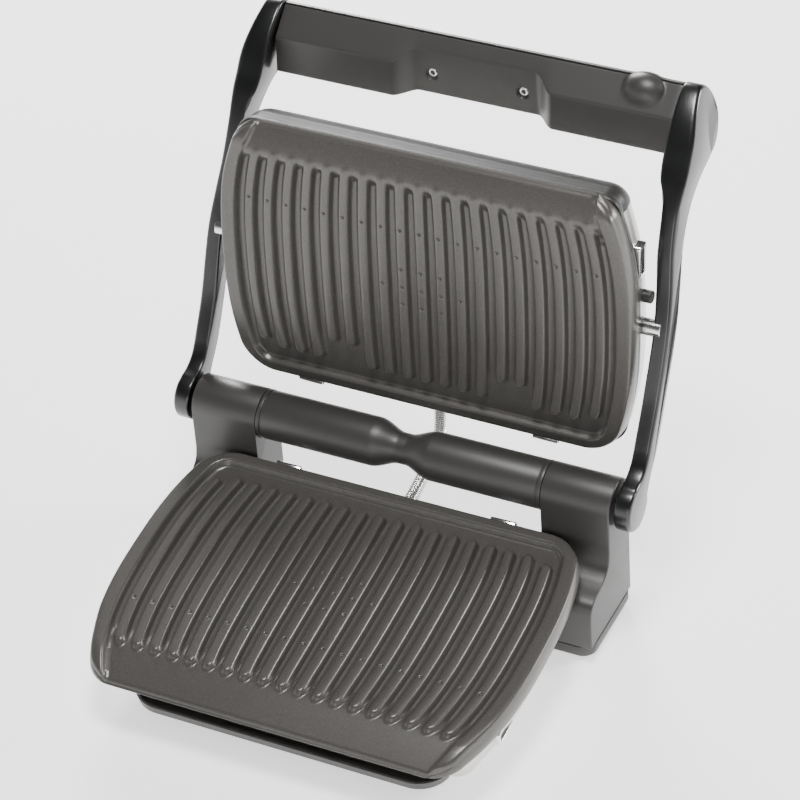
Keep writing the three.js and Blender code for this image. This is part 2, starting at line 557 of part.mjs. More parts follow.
add('upper_housing', upperHousing(), STEEL);
add('upper_nose', upperNose(), DARK);
add('upper_frame', upperFrame(), DARK);
add('upper_reflector', onHead(slab(17, 86, 35, 36)), STEEL);
add('upper_element', onHead(element(18)), ELEMENT);
pair('pivot_pin', pivotPin(), BRIGHT);
pair('stop_pin', stopPin(), DARK);
pair('upper_clip', onHead(clip(19.5 - TOWER_IN).rotateY(Math.PI)), BRIGHT);
add('upper_latch_frame', onHead(latchFrame(LATCH_UP)), BRIGHT);
add('upper_latch', onHead(latchButton(LATCH_UP)), DARK);
add('upper_plate', onHead(plate(PLATE_LIP_UP, [4, 5, 13, 14]).rotateY(Math.PI)), NONSTICK);
add('conduit_gland_head', onHead(gland(PLATE_REAR - 6.5, PLATE_REAR + 3.5, CONDUIT_HIGH, 1.2)), DARK);

export default grill;
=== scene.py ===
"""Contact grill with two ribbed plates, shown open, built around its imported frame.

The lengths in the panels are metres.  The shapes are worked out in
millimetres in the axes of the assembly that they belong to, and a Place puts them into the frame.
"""
import json
import math
from types import SimpleNamespace

import bmesh
import bpy
import numpy as np
from bpy.props import FloatProperty, FloatVectorProperty, IntProperty, PointerProperty
from bpy.types import Operator, Panel, PropertyGroup
from mathutils import Matrix, Vector


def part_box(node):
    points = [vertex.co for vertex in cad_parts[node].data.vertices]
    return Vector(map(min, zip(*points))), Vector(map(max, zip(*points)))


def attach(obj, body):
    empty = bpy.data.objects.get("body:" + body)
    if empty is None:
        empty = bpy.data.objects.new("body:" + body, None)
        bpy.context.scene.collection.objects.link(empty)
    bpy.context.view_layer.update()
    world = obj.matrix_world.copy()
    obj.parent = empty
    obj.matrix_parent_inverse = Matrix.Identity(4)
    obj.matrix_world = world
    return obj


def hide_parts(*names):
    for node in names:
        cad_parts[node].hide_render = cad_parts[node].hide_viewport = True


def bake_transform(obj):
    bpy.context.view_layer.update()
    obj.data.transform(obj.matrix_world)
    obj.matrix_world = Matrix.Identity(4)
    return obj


bl_info = {
    "name": "Contact Grill",
    "version": (1, 0, 0),
    "blender": (4, 5, 0),
    "location": "View3D > Sidebar > Grill",
    "description": "Builds a contact grill, its finishes and its studio around a packed frame",
    "category": "Object",
}

MM = 0.001
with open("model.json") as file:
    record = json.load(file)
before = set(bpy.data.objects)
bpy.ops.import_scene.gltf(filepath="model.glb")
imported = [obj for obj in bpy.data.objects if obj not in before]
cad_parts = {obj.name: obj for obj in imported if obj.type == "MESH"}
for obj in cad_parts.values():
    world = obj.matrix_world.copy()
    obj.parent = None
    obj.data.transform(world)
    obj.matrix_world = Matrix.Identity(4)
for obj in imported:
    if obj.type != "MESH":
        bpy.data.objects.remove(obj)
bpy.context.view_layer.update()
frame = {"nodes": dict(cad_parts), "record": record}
JOINTS = {joint["name"]: joint for joint in frame["record"]["behaviour"]["joints"]}


# ---- places --------------------------------------------------------------------------------------
class Place:
    """Axes of one assembly: x across, y towards the hinge side, h off its plate, all in millimetres."""

    def __init__(self, origin, rise):
        self.h_axis = np.array(rise, float) / np.linalg.norm(rise)
        self.y_axis = np.cross(self.h_axis, [1.0, 0.0, 0.0])
        self.origin = np.array(origin, float)

    def __call__(self, points):
        """Points of the frame, in metres, from one point or an array whose last axis holds x, y and h."""
        points = np.asarray(points, float)
        across = points[..., :1] * np.array([1.0, 0.0, 0.0])
        return self.origin + MM * (across + points[..., 1:2] * self.y_axis + points[..., 2:3] * self.h_axis)


HINGE_BACK, HINGE_UP = 127.5, 21.0     # the hinge axis, along and above the deck
PIVOT_UP = 22.0                        # the head's pins above the upper rib tops
DECK_RISE = JOINTS["lower_plate_lift"]["axis"]
HEAD_RISE = [-part for part in JOINTS["upper_plate_lift"]["axis"]]
ON_LID = Place(JOINTS["lid_hinge"]["pos_m"], (0.0, 0.0, 1.0))
ON_DECK = Place(Place(ON_LID.origin, DECK_RISE)((0.0, -HINGE_BACK, -HINGE_UP)), DECK_RISE)
ON_BASE = Place(ON_DECK.origin, (0.0, 0.0, 1.0))
ON_HEAD = Place(Place(JOINTS["head_tilt"]["pos_m"], HEAD_RISE)((0.0, 0.0, -PIVOT_UP)), HEAD_RISE)
HINGE_Y, HINGE_Z = ((ON_LID.origin - ON_BASE.origin) / MM)[1:]


# ---- sizes and colours ---------------------------------------------------------------------------
def length(name, text, value):
    """A length property from a size in millimetres."""
    return FloatProperty(name=name, description=text, default=value * MM, min=0.0, precision=4, unit="LENGTH")


def colour(name, text, value):
    """A colour property."""
    return FloatVectorProperty(name=name, description=text, default=value, min=0.0, max=1.0, subtype="COLOR")


class GrillPlateSizes(PropertyGroup):
    """Sizes of the two cast plates."""

    half_width: length("Half width", "Middle of the plate to its side", 160.0)
    rear: length("Rear reach", "Middle of the plate to its rear edge", 102.5)
    lip_low: length("Lower lip", "Middle of the lower plate to its pouring lip", 117.0)
    lip_up: length("Upper lip", "Middle of the upper plate to its lip", 106.0)
    skirt: length("Skirt", "Depth of the side wall", 13.0)
    rim: length("Rim", "Width of the flat rim at the sides", 10.5)
    rim_rear: length("Rear rim", "Width of the flat rim at the rear", 7.5)
    rib_pitch: length("Rib pitch", "Distance between ribs", 15.2)
    rib_top: length("Rib top", "Width of the flat top of a rib", 5.4)
    rib_foot: length("Rib foot", "Width of a rib at the floor", 11.2)
    rib_height: length("Rib height", "Rib top above the floor", 5.0)
    dimple: length("Dimple", "Radius of the small dimples", 1.25)
    ribs: IntProperty(name="Ribs", description="Number of ribs", default=19, min=3)


class GrillBodySizes(PropertyGroup):
    """Sizes of the base, the hinge, the arms and the handle."""

    tube: length("Tube radius", "Radius of the hinge tube", 18.5)
    waist: length("Waist radius", "Radius of the tube's waist", 11.7)
    waist_half: length("Waist half length", "Middle of the waist to where the tube is full", 24.0)
    tower_in: length("Tower inside", "Middle plane to the tower's inner face", 113.5)
    tower_out: length("Tower outside", "Middle plane to the tower's outer face", 166.0)
    base_drop: length("Base drop", "Deck point down to the underside of the base", 67.0)
    arm_in: length("Arm inside", "Middle plane to the arm's inner face", 169.0)
    arm_thick: length("Arm thickness", "Thickness of an arm across the grill", 12.5)
    handle_half: length("Handle half length", "Middle plane to the end of the handle", 154.9)
    conduit: length("Conduit radius", "Radius of the flexible conduit", 5.3)
    shell: length("Housing wall", "Thickness of the steel housings", 1.5)


class GrillColours(PropertyGroup):
    """Colours of the finishes."""

    coating: colour("Coating", "Speckled coating of the plates", (0.085, 0.080, 0.074))
    plastic: colour("Moulding", "Satin mouldings of base, tube and handle", (0.031, 0.029, 0.027))
    black: colour("Arm paint", "Black satin paint of the arms", (0.003, 0.0033, 0.0033))
    dark: colour("Dark plastic", "Dark plastic of frame, latch and keys", (0.020, 0.019, 0.018))
    steel: colour("Steel", "Brushed steel of the housings", (0.62, 0.61, 0.59))
    bright: colour("Bright steel", "Polished steel of the small parts", (0.76, 0.76, 0.75))
    heater: colour("Heater", "Heat-darkened sheath of the heating loops", (0.13, 0.12, 0.11))
    rubber: colour("Rubber", "Feet and bush", (0.014, 0.014, 0.014))
    lens: colour("Lens", "Opal window of the indicator", (0.66, 0.69, 0.70))


def in_mm(group):
    """A group's lengths in millimetres, its whole numbers as they are."""
    sizes = SimpleNamespace()
    for key in group.__annotations__:
        value = getattr(group, key)
        setattr(sizes, key, value / MM if isinstance(value, float) else value)
    return sizes


# ---- curves and outlines -------------------------------------------------------------------------
def ease(t):
    """3 t^2 - 2 t^3 for t held between 0 and 1."""
    t = np.clip(t, 0.0, 1.0)
    return t * t * (3.0 - 2.0 * t)


def spread(*spans):
    """Sorted values from (first, last, step) spans, each with evenly spaced values."""
    parts = [np.linspace(a, b, max(2, round((b - a) / step) + 1)) for a, b, step in spans]
    return np.unique(np.round(np.concatenate(parts), 4))


def curve(points, steps, closed=False):
    """A uniform Catmull-Rom curve through the points: each span is a cubic with slopes (next - last) / 2."""
    p = np.asarray(points, float)
    if closed:
        before, after, beyond = np.roll(p, 1, 0), np.roll(p, -1, 0), np.roll(p, -2, 0)
        start = p
    else:
        q = np.vstack([2 * p[0] - p[1], p, 2 * p[-1] - p[-2]])
        before, start, after, beyond = q[:-3], q[1:-2], q[2:-1], q[3:]
    t = (np.arange(steps) / steps)[None, :, None]
    b, s, a, e = (v[:, None, :] for v in (before, start, after, beyond))
    square, cube = 2 * b - 5 * s + 4 * a - e, 3 * s - b - 3 * a + e
    made = (0.5 * (2 * s + (a - b) * t + square * t**2 + cube * t**3)).reshape(-1, p.shape[1])
    return made if closed else np.vstack([made, p[-1]])


def rounded(corners, radii, steps=6, fill=0):
    """A closed outline with an arc of the given radius in each corner and `fill` points along each side.

    corners is (..., n, 2), so that many outlines can be made at once."""
    p = np.asarray(corners, float)
    n = p.shape[-2]
    r = np.broadcast_to(np.asarray(radii, float), (n,))[:, None]
    to_last, to_next = np.roll(p, 1, -2) - p, np.roll(p, -1, -2) - p
    u = to_last / np.linalg.norm(to_last, axis=-1, keepdims=True)
    v = to_next / np.linalg.norm(to_next, axis=-1, keepdims=True)
    half = 0.5 * np.arccos(np.clip((u * v).sum(-1, keepdims=True), -0.99999, 0.99999))
    middle = p + (u + v) / np.linalg.norm(u + v, axis=-1, keepdims=True) * r / np.sin(half)
    a, b = p + u * r / np.tan(half) - middle, p + v * r / np.tan(half) - middle
    sweep = math.pi - 2 * half
    k = np.linspace(0.0, 1.0, steps + 1)[:, None]
    sweep, a, b, middle = (w[..., None, :] for w in (sweep, a, b, middle))
    arcs = middle + (np.sin((1 - k) * sweep) * a + np.sin(k * sweep) * b) / np.sin(sweep)
    if fill:
        t = (np.arange(1, fill + 1) / (fill + 1))[:, None]
        end, start = arcs[..., -1:, :], np.roll(arcs, -1, -3)[..., :1, :]
        arcs = np.concatenate([arcs, end + (start - end) * t], -2)
    return arcs.reshape(*p.shape[:-2], -1, 2)


def rectangle(y0, y1, h0, h1):
    """Corners of a rectangle, anticlockwise."""
    return [(y0, h0), (y1, h0), (y1, h1), (y0, h1)]


def shrunk(outline, depth):
    """A closed anticlockwise outline moved inwards by depth, along the mean normal at each point."""
    before, after = outline - np.roll(outline, 1, -2), np.roll(outline, -1, -2) - outline
    before = before / np.maximum(np.linalg.norm(before, axis=-1, keepdims=True), 1e-9)
    after = after / np.maximum(np.linalg.norm(after, axis=-1, keepdims=True), 1e-9)
    along = before + after
    normal = np.stack([-along[..., 1], along[..., 0]], -1)
    normal = normal / np.maximum((normal**2).sum(-1, keepdims=True) / 2, 0.5)
    return outline + normal * depth


def edge_steps(radius):
    """(along, inset) pairs of a quarter round: along r (1 - cos a) and inset r (1 - sin a)."""
    angle = np.linspace(0.0, math.pi / 2, 5)
    return list(zip(radius * (1 - np.cos(angle)), radius * (1 - np.sin(angle))))


# ---- surfaces ------------------------------------------------------------------------------------
def quads(rows, columns, wrap_rows=False, wrap_columns=False):
    """Corner numbers of the faces of a grid whose points are numbered row by row."""
    r = np.arange(rows if wrap_rows else rows - 1)[:, None]
    c = np.arange(columns if wrap_columns else columns - 1)[None, :]
    up, right = (r + 1) % rows, (c + 1) % columns
    faces = np.stack([r * columns + c, r * columns + right, up * columns + right, up * columns + c], -1)
    return faces.reshape(-1, 4)


SHARP = 32.0           # edges that turn by more than this, in degrees, stay sharp


def piece(name, points, faces, sharp=SHARP, welded=False):
    """A mesh object from points in metres, facing outwards, smooth but for edges sharper than the angle."""
    mesh = bpy.data.meshes.new(name)
    mesh.from_pydata(np.asarray(points).reshape(-1, 3).tolist(), [], faces)
    work = bmesh.new()
    work.from_mesh(mesh)
    if welded:
        bmesh.ops.remove_doubles(work, verts=work.verts, dist=2e-6)
    bmesh.ops.recalc_face_normals(work, faces=work.faces)
    work.to_mesh(mesh)
    work.free()
    mesh.shade_smooth()
    mesh.set_sharp_from_angle(angle=math.radians(sharp))
    made = bpy.data.objects.new(name, mesh)
    bpy.context.scene.collection.objects.link(made)
    return made


def skin(name, rings, wrap=False, **options):
    """Closed rings joined in order: a capped body, or, wrapped, a body with a hole through it."""
    rings = np.asarray(rings)
    rows, columns = rings.shape[:2]
    faces = quads(rows, columns, wrap, True).tolist()
    if not wrap:
        last = (rows - 1) * columns
        faces += [list(range(columns))[::-1], list(range(last, last + columns))]
    return piece(name, rings, faces, **options)


def across_ring(x, outline):
    """A (y, h) outline standing at one x."""
    return np.column_stack([np.full(len(outline), x), outline])


def flat_ring(outline, height):
    """An (x, y) outline lying at one height."""
    return np.column_stack([outline, np.full(len(outline), height)])


def stacked(outline, table, low):
    """An (x, y) outline shrunk and raised by each (inset, height) of a table, from the height low up."""
    return np.array([flat_ring(shrunk(outline, inset), low + height) for inset, height in table])


def slab_x(name, place, outline, x0, x1, round0, round1, bend=None, **options):
    """A closed (y, h) outline pushed along x from x0 to x1 with quarter-round edges.  bend(points) may
    move the points before they are placed."""
    stations = [(x0 + a, d) for a, d in edge_steps(round0)]
    stations += [(x1 - a, d) for a, d in edge_steps(round1)[::-1]]
    rings = np.array([across_ring(x, shrunk(outline, depth)) for x, depth in stations])
    return skin(name, place(bend(rings) if bend else rings), **options)


def turned(name, place, profile, middle, axis, sides):
    """A (along, radius) profile turned about the x, y or h axis through `middle`: the two other coordinates
    are the radius times the cosine and the sine.  A profile that starts off the axis makes a ring."""
    profile = np.asarray(profile, float)
    angle = np.linspace(0.0, 2 * math.pi, sides, endpoint=False)
    first, second = (k for k in (0, 1, 2) if k != axis)
    rings = np.zeros((len(profile), sides, 3))
    rings[..., axis] = profile[:, :1]
    rings[..., first] = profile[:, 1:] * np.cos(angle)
    rings[..., second] = profile[:, 1:] * np.sin(angle)
    rings += np.asarray(middle, float)
    if profile[0, 1] > 0:
        return skin(name, place(rings), wrap=True)
    return piece(name, place(rings), quads(len(profile), sides, False, True).tolist(), welded=True)


FINISHES = {}          # filled by the Finishes step


def dress(obj, finish, node):
    """Gives a piece its finish and hides the node that it stands for."""
    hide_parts(node)
    obj.data.materials.append(FINISHES[finish])


def wear(obj, body, finish, node):
    """Dresses a piece that moves with one body."""
    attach(obj, body)
    dress(obj, finish, node)


def paint_node(node, finish):
    """Gives a node of the frame a finish."""
    obj = frame["nodes"][node]
    for slot in obj.material_slots:
        slot.material = FINISHES[finish]
    if not obj.material_slots:
        obj.data.materials.append(FINISHES[finish])


# ---- finishes ------------------------------------------------------------------------------------
class Wire:
    """A node's output that can be used in sums: each operator adds a Math node."""

    def __init__(self, sheet, socket):
        self.sheet = sheet
        self.socket = socket

    def maths(self, operation, *values):
        """A Math node on this wire and the values."""
        return self.sheet.node("ShaderNodeMath", {"operation": operation}, dict(enumerate(values)))

    def __add__(self, other):
        return self.maths("ADD", self, other)

    def __radd__(self, other):
        return self.maths("ADD", other, self)

    def __mul__(self, other):
        return self.maths("MULTIPLY", self, other)

    def __rmul__(self, other):
        return self.maths("MULTIPLY", other, self)

    def above(self, edge, width):
        """0 below the edge, 1 above it, over the width."""
        return self.sheet.node(
            "ShaderNodeMapRange",
            {"interpolation_type": "SMOOTHSTEP"},
            {"Value": self, "From Min": edge - width / 2, "From Max": edge + width / 2},
        )


class Sheet:
    """The node sheet of one finish."""

    def __init__(self, name):
        self.material = bpy.data.materials.new(name)
        self.material.use_nodes = True
        self.tree = self.material.node_tree
        self.shader = self.tree.nodes["Principled BSDF"]
        self.place = self.node("ShaderNodeTexCoord", {}, {}, "Object")

    def node(self, kind, settings, values, output=0):
        """Adds a node: its settings first, then the values or wires of its sockets."""
        made = self.tree.nodes.new(kind)
        for key, value in settings.items():
            setattr(made, key, value)
        for key, value in values.items():
            self.join(made.inputs[key], value)
        return Wire(self, made.outputs[output])

    def join(self, socket, value):
        """Links a wire to a socket, or sets the socket's own value."""
        if isinstance(value, Wire):
            self.tree.links.new(value.socket, socket)
        else:
            socket.default_value = value

    def noise(self, scale, detail=2.0, rough=0.5, stretch=None):
        """Noise of about 1 / scale metres, from 0 to 1, stretched by a scale for each axis."""
        where = self.place
        if stretch:
            where = self.node("ShaderNodeMapping", {}, {"Vector": where, "Scale": stretch})
        values = {"Vector": where, "Scale": scale, "Detail": detail, "Roughness": rough}
        return self.node("ShaderNodeTexNoise", {}, values)

    def blend(self, factor, first, second):
        """A colour between two colours."""
        made = self.tree.nodes.new("ShaderNodeMix")
        made.data_type = "RGBA"
        made.clamp_factor = True
        self.join(made.inputs["Factor"], factor)
        for socket, value in zip([s for s in made.inputs if s.type == "RGBA"], (first, second)):
            self.join(socket, value)
        return Wire(self, next(s for s in made.outputs if s.type == "RGBA"))

    def bump(self, height, distance, strength):
        """A bump whose height is the distance, in metres, times the wire."""
        values = {"Height": height, "Distance": distance, "Strength": strength}
        return self.node("ShaderNodeBump", {}, values, "Normal")

    def finish(self, **values):
        """Sets the shader's sockets by name, with _ for a space, and returns the material."""
        for key, value in values.items():
            self.join(self.shader.inputs[key.replace("_", " ")], value)
        return self.material


def shade(rgb, amount=1.0):
    """A colour socket value: the colour times an amount, held between 0 and 1."""
    return (*(min(1.0, max(0.0, part * amount)) for part in rgb), 1.0)


def coating(rgb):
    """Sprayed non-stick coating: warm grey, with pale and dark specks and a grain that can be felt."""
    s = Sheet("non_stick_coating")
    grain, specks, soot = s.noise(1700.0, 3.0, 0.6), s.noise(1500.0, 1.0), s.noise(1100.0, 1.0)
    broad = s.noise(9.0, 3.0)
    tone = s.blend(broad, shade(rgb, 0.9), shade(rgb, 1.1))
    tone = s.blend(grain.above(0.5, 0.5), s.blend(0.25, tone, shade(rgb, 0.5)), tone)
    tone = s.blend(specks.above(0.64, 0.06) * 0.35, tone, shade(rgb, 2.2))
    tone = s.blend(soot.above(0.66, 0.05) * 0.4, tone, shade(rgb, 0.4))
    return s.finish(
        Base_Color=tone,
        Metallic=0.35,
        Roughness=0.25 + grain * 0.1 + broad * 0.03,
        Normal=s.bump(grain, 0.00005, 0.35),
    )


def moulding(name, rgb, rough):
    """Satin moulded plastic with a fine spark-eroded grain and slight clouds of gloss."""
    s = Sheet(name)
    grain, cloud, rub = s.noise(2300.0, 2.0), s.noise(16.0, 4.0), s.noise(60.0, 3.0, 0.6, (1.0, 0.25, 1.0))
    tone = s.blend(cloud, shade(rgb, 0.93), shade(rgb, 1.08))
    return s.finish(
        Base_Color=tone,
        Roughness=rough - 0.03 + grain * 0.05 + rub * 0.05,
        Specular_IOR_Level=0.5,
        Normal=s.bump(grain, 0.00006, 0.4),
    )


def paint(rgb):
    """Black satin paint with a little orange peel under a clear coat."""
    s = Sheet("arm_paint")
    peel, cloud = s.noise(420.0, 2.0), s.noise(30.0, 3.0)
    return s.finish(
        Base_Color=s.blend(cloud, shade(rgb, 0.9), shade(rgb, 1.2)),
        Roughness=0.27 + cloud * 0.08,
        Coat_Weight=0.35,
        Coat_Roughness=0.12,
        Normal=s.bump(peel, 0.00005, 0.4),
    )


def brushed(name, rgb, rough=0.24, grain=(3.0, 500.0, 500.0)):
    """Steel with fine brush lines along one axis and faint smears."""
    s = Sheet(name)
    lines, smear = s.noise(6.0, 6.0, 0.7, grain), s.noise(22.0, 3.0)
    return s.finish(
        Base_Color=s.blend(lines, shade(rgb, 0.86), shade(rgb, 1.08)),
        Metallic=1.0,
        Roughness=rough + lines * 0.12 + smear * 0.06,
        Normal=s.bump(lines, 0.00002, 0.35),
    )


def polished(rgb):
    """Polished steel with faint smears and hairlines."""
    s = Sheet("bright_steel")
    smear, hair = s.noise(60.0, 3.0), s.noise(10.0, 4.0, 0.6, (40.0, 400.0, 400.0))
    return s.finish(
        Base_Color=s.blend(smear, shade(rgb, 0.93), shade(rgb, 1.05)),
        Metallic=1.0,
        Roughness=0.12 + smear * 0.08 + hair * 0.03,
    )


def sheath(rgb):
    """Heater sheath: steel with heat colours in bands of brown and grey."""
    s = Sheet("heater_sheath")
    heat, scale = s.noise(35.0, 3.0), s.noise(800.0, 2.0)
    tone = s.blend(heat, shade(rgb, 0.7), shade((rgb[0] * 1.5, rgb[1] * 1.2, rgb[2]), 1.0))
    return s.finish(
        Base_Color=tone,
        Metallic=0.8,
        Roughness=0.4 + scale * 0.2,
        Normal=s.bump(scale, 0.0001, 0.5),
    )


def rubber(rgb):
    """Matt moulded rubber with dust in its pores."""
    s = Sheet("foot_rubber")
    pores, dust = s.noise(1200.0, 2.0), s.noise(90.0, 3.0)
    tone = s.blend(dust.above(0.6, 0.3) * 0.5, shade(rgb), shade(rgb, 2.5))
    return s.finish(Base_Color=tone, Roughness=0.78 + dust * 0.12, Normal=s.bump(pores, 0.0001, 0.5))


def opal(rgb):
    """Opal plastic window, slightly cloudy, with a soft gloss."""
    s = Sheet("opal_window")
    cloud, grain = s.noise(140.0, 2.0), s.noise(2500.0, 1.0)
    return s.finish(
        Base_Color=s.blend(cloud, shade(rgb, 0.94), shade(rgb, 1.04)),
        Roughness=0.16 + cloud * 0.06,
        Coat_Weight=0.3,
        Normal=s.bump(grain, 0.00002, 0.2),
    )


class GRILL_OT_finishes(Operator):
    """Make the finishes that the other steps give to their pieces"""

    bl_idname = "grill.finishes"
    bl_label = "Finishes"

    def execute(self, context):
        c = context.scene.grill_colours
        FINISHES.update(
            coating=coating(c.coating),
            plastic=moulding("satin_moulding", c.plastic, 0.40),
            tray=moulding("tray_moulding", c.plastic, 0.34),
            dark=moulding("dark_moulding", c.dark, 0.42),
            black=paint(c.black),
            steel=brushed("brushed_housing", c.steel),
            sheet=brushed("reflector_sheet", c.steel, 0.3, (400.0, 3.0, 400.0)),
            bright=polished(c.bright),
            heater=sheath(c.heater),
            rubber=rubber(c.rubber),
            lens=opal(c.lens),
        )
        return {"FINISHED"}


# ---- plates --------------------------------------------------------------------------------------
def draw_in(y):
    """How much a plate's sides and ribs draw in: 1 - 0.085 |(y - 2) / 95| ^ 2.6."""
    return 1.0 - 0.085 * np.abs((y - 2.0) / 95.0) ** 2.6


CORNER, LIP_CORNER = 21.0, 14.0         # corner radii of a plate's outline, at the rear and at the lip
POCKET_CORNER, POCKET_WALL = 12.0, 3.6  # corner radius of the ribbed pocket, and width of its wall
EDGE_ROUND, NOSE_ROUND = 1.6, 3.2       # rounding of a plate's edge, and of its lip
RIM_FRONT, RIM_DROP = 94.0, 8.0         # where the rim starts to fall to the lip, and how far it falls
RIB_FRONT, RIB_REAR = 88.0, 82.0        # where the ribs end, in front of and behind the deck point
OUTER_REAR, SHORT_REAR = 77.5, 65.0     # the same at the rear for the outermost and for the short ribs
SHORT_RIBS = (4, 5, 13, 14)             # ribs of the upper plate that are short
RIB_CROWN, DIMPLE_DEPTH = 0.22, 1.1     # how far a rib's top falls to its side, and a dimple's depth
# outset, share of the way down and lift of the skirt's rings, from the edge down and under
SKIRT = [(0.5, 0.12, 0.0), (0.9, 0.5, 0.0), (1.3, 0.93, 0.0), (1.0, 1.0, 0.0), (-3.0, 1.0, 0.0),
         (-3.8, 1.0, 0.7)]


def plate_outline(p, inset, lip):
    """Anticlockwise outline of a plate: sides at half width times draw_in(y), less the inset, between four
    corner arcs."""
    rear = p.rear - inset * 0.72
    rc, fc = max(CORNER - inset, 4.0), LIP_CORNER

    def half(y):
        return p.half_width * draw_in(y) - inset

    front_y, rear_y = -lip + fc, rear - rc
    low, high = np.radians(np.linspace(-90, 0, 9)), np.radians(np.linspace(0, 90, 13))
    sides = np.linspace(front_y, rear_y, 34)[1:-1]
    lip_arc, rear_arc = half(front_y) - fc + fc * np.cos(low), half(rear_y) - rc + rc * np.cos(high)
    x = np.concatenate([lip_arc, half(sides), rear_arc])
    y = np.concatenate([front_y + fc * np.sin(low), sides, rear_y + rc * np.sin(high)])
    right = np.column_stack([x, y])
    return np.vstack([right, right[::-1] * [-1, 1]])


def plate_rings(p, table):
    """Rings of a plate outline from rows of inset, lip and height."""
    return np.array([flat_ring(plate_outline(p, inset, lip), height) for inset, lip, height in table])


def corner_distance(side, end, radius):
    """Distance inside two walls that meet in an arc of that radius."""
    outside = np.hypot(np.maximum(radius - side, 0.0), np.maximum(radius - end, 0.0))
    return np.where((side > radius) & (end > radius), np.minimum(side, end), radius - outside)


def rounded_off(distance, radius):
    """How far a quarter round lowers a surface: r (1 - sqrt(1 - (1 - d / r)^2)) at a distance d inside."""
    edge = np.clip(distance / radius, 0.0, 1.0)
    return radius * (1.0 - np.sqrt(1.0 - (1.0 - edge) ** 2))


def rib_spots(p):
    """Dimples as (y, indices of the ribs that have one): one long row and a cluster in the middle."""
    middle = (p.ribs - 1) // 2
    cluster = range(middle - 1, middle + 2)
    return [(-48.6, range(p.ribs)), (14.8, cluster), (0.0, range(middle - 2, middle + 3)), (-15.2, cluster)]


def rib_middles(p):
    """Barrel coordinates of the ribs' middle lines, a pitch apart."""
    return (np.arange(p.ribs) - (p.ribs - 1) / 2) * p.rib_pitch


def pocket_floor(p, y, lip, is_upper):
    """Height of the pocket's floor: level, then an eased rise over a run to the apron, from where it falls by
    drop t^1.25 to the lip."""
    rise, run, drop = (3.9, 8.0, 10.5) if is_upper else (1.5, 15.0, 8.1)
    slope = np.clip((-RIB_FRONT - y) / (lip - RIB_FRONT), 0.0, 1.0)
    return -p.rib_height + rise * ease((-(RIB_FRONT - 2.0 - run) - y) / run) - drop * slope**1.25


def rib_rise(p, i, across, y, floor, is_upper):
    """How far rib i stands above the floor: (top - floor) times an eased wall.  The distance is measured to a
    middle line that stops short of the rib's ends, so they come out round.  Dimples go into its top."""
    half_top, half_foot = p.rib_top / 2, p.rib_foot / 2
    rear_end = OUTER_REAR if i in (0, p.ribs - 1) else RIB_REAR
    if is_upper and i in SHORT_RIBS:
        rear_end = SHORT_REAR
    ahead = np.maximum(0.0, (-(RIB_FRONT + 2.0) + half_foot * 1.2 - y) * 0.72)
    behind = np.maximum(0.0, y - (rear_end - half_foot))
    away = np.hypot(across, ahead + behind)
    wall = ease((half_foot - away) / (half_foot - half_top))
    top = -RIB_CROWN * np.clip(away / half_top, 0.0, 1.4) ** 2
    rise = np.maximum(top - floor, 0.0) * wall
    for spot_y, ribs in rib_spots(p):
        if i in ribs:
            reach = np.hypot(across, y - spot_y)
            rise = rise - DIMPLE_DEPTH * ease((p.dimple * 1.25 - reach) / (p.dimple * 0.9))
    return rise


def cooking_height(p, s, y, lip, is_upper):
    """Height of the cooking side at barrel coordinate s and depth y.

    The rim is at 0 and falls by 8 t^1.5 to the lip.  Inside it an eased wall leads down to the pocket's
    floor, to which each rib adds its rise, and the edge all round is rounded off."""
    k = draw_in(y)
    rim = -RIM_DROP * np.clip((-RIM_FRONT - y) / (lip - RIM_FRONT), 0.0, 1.0) ** 1.5
    floor = pocket_floor(p, y, lip, is_upper)
    height = floor.copy()
    for i, middle in enumerate(rib_middles(p)):
        height = height + rib_rise(p, i, (s - middle) * k, y, floor, is_upper)
    side, end = (p.half_width - p.rim - np.abs(s)) * k, p.rear - p.rim_rear - y
    pocket = ease(corner_distance(side, end, POCKET_CORNER) / POCKET_WALL)
    height = rim + (height - rim) * pocket
    side = (p.half_width - np.abs(s)) * k
    height = height - rounded_off(corner_distance(side, p.rear - y, CORNER), EDGE_ROUND)
    nose = rounded_off(corner_distance(side, y + lip, LIP_CORNER), NOSE_ROUND)
    return height - nose * ease((-60.0 - y) / 30.0)


def grid_lines(p, lip):
    """Barrel coordinates of a plate's columns and depths of its rows, both closer together where the ribs'
    walls, the dimples and the rim are."""
    steps = np.array([0.0, 0.45, 0.9, 1.35, 1.9, 2.5, 3.1, 3.7, 4.3, 5.0, 5.7])
    around = np.concatenate([-steps, steps, [p.rib_pitch / 2]])
    rim = p.half_width - np.array([0.0, 0.15, 0.4, 0.8, 1.6, 4.0, 7.5, 9.8, 10.8, 11.8, 12.8, 13.8])
    s = np.concatenate([(rib_middles(p)[:, None] + around).ravel(), rim, -rim])
    s = np.unique(np.round(s, 3))
    s = s[np.concatenate([[True], np.diff(s) > 0.1])]
    rows = [(-lip, -lip + 3.6, 0.45), (-lip + 3.6, -lip + 48, 1.25), (-lip + 48, 60.0, 4.0)]
    rows += [(60.0, p.rear - 9.5, 1.1), (p.rear - 9.5, p.rear - 1.6, 0.8), (p.rear - 1.6, p.rear, 0.3)]
    rows += [(at - 1.9, at + 1.9, 0.42) for at, _ in rib_spots(p)]
    return s, spread(*rows)


def arc_back(p, s, radius):
    """How far a corner arc has drawn an end of the plate back at barrel coordinate s."""
    over = np.abs(s) - (p.half_width - radius)
    return np.where(over > 0, radius - np.sqrt(np.maximum(radius**2 - over**2, 0.0)), 0.0)


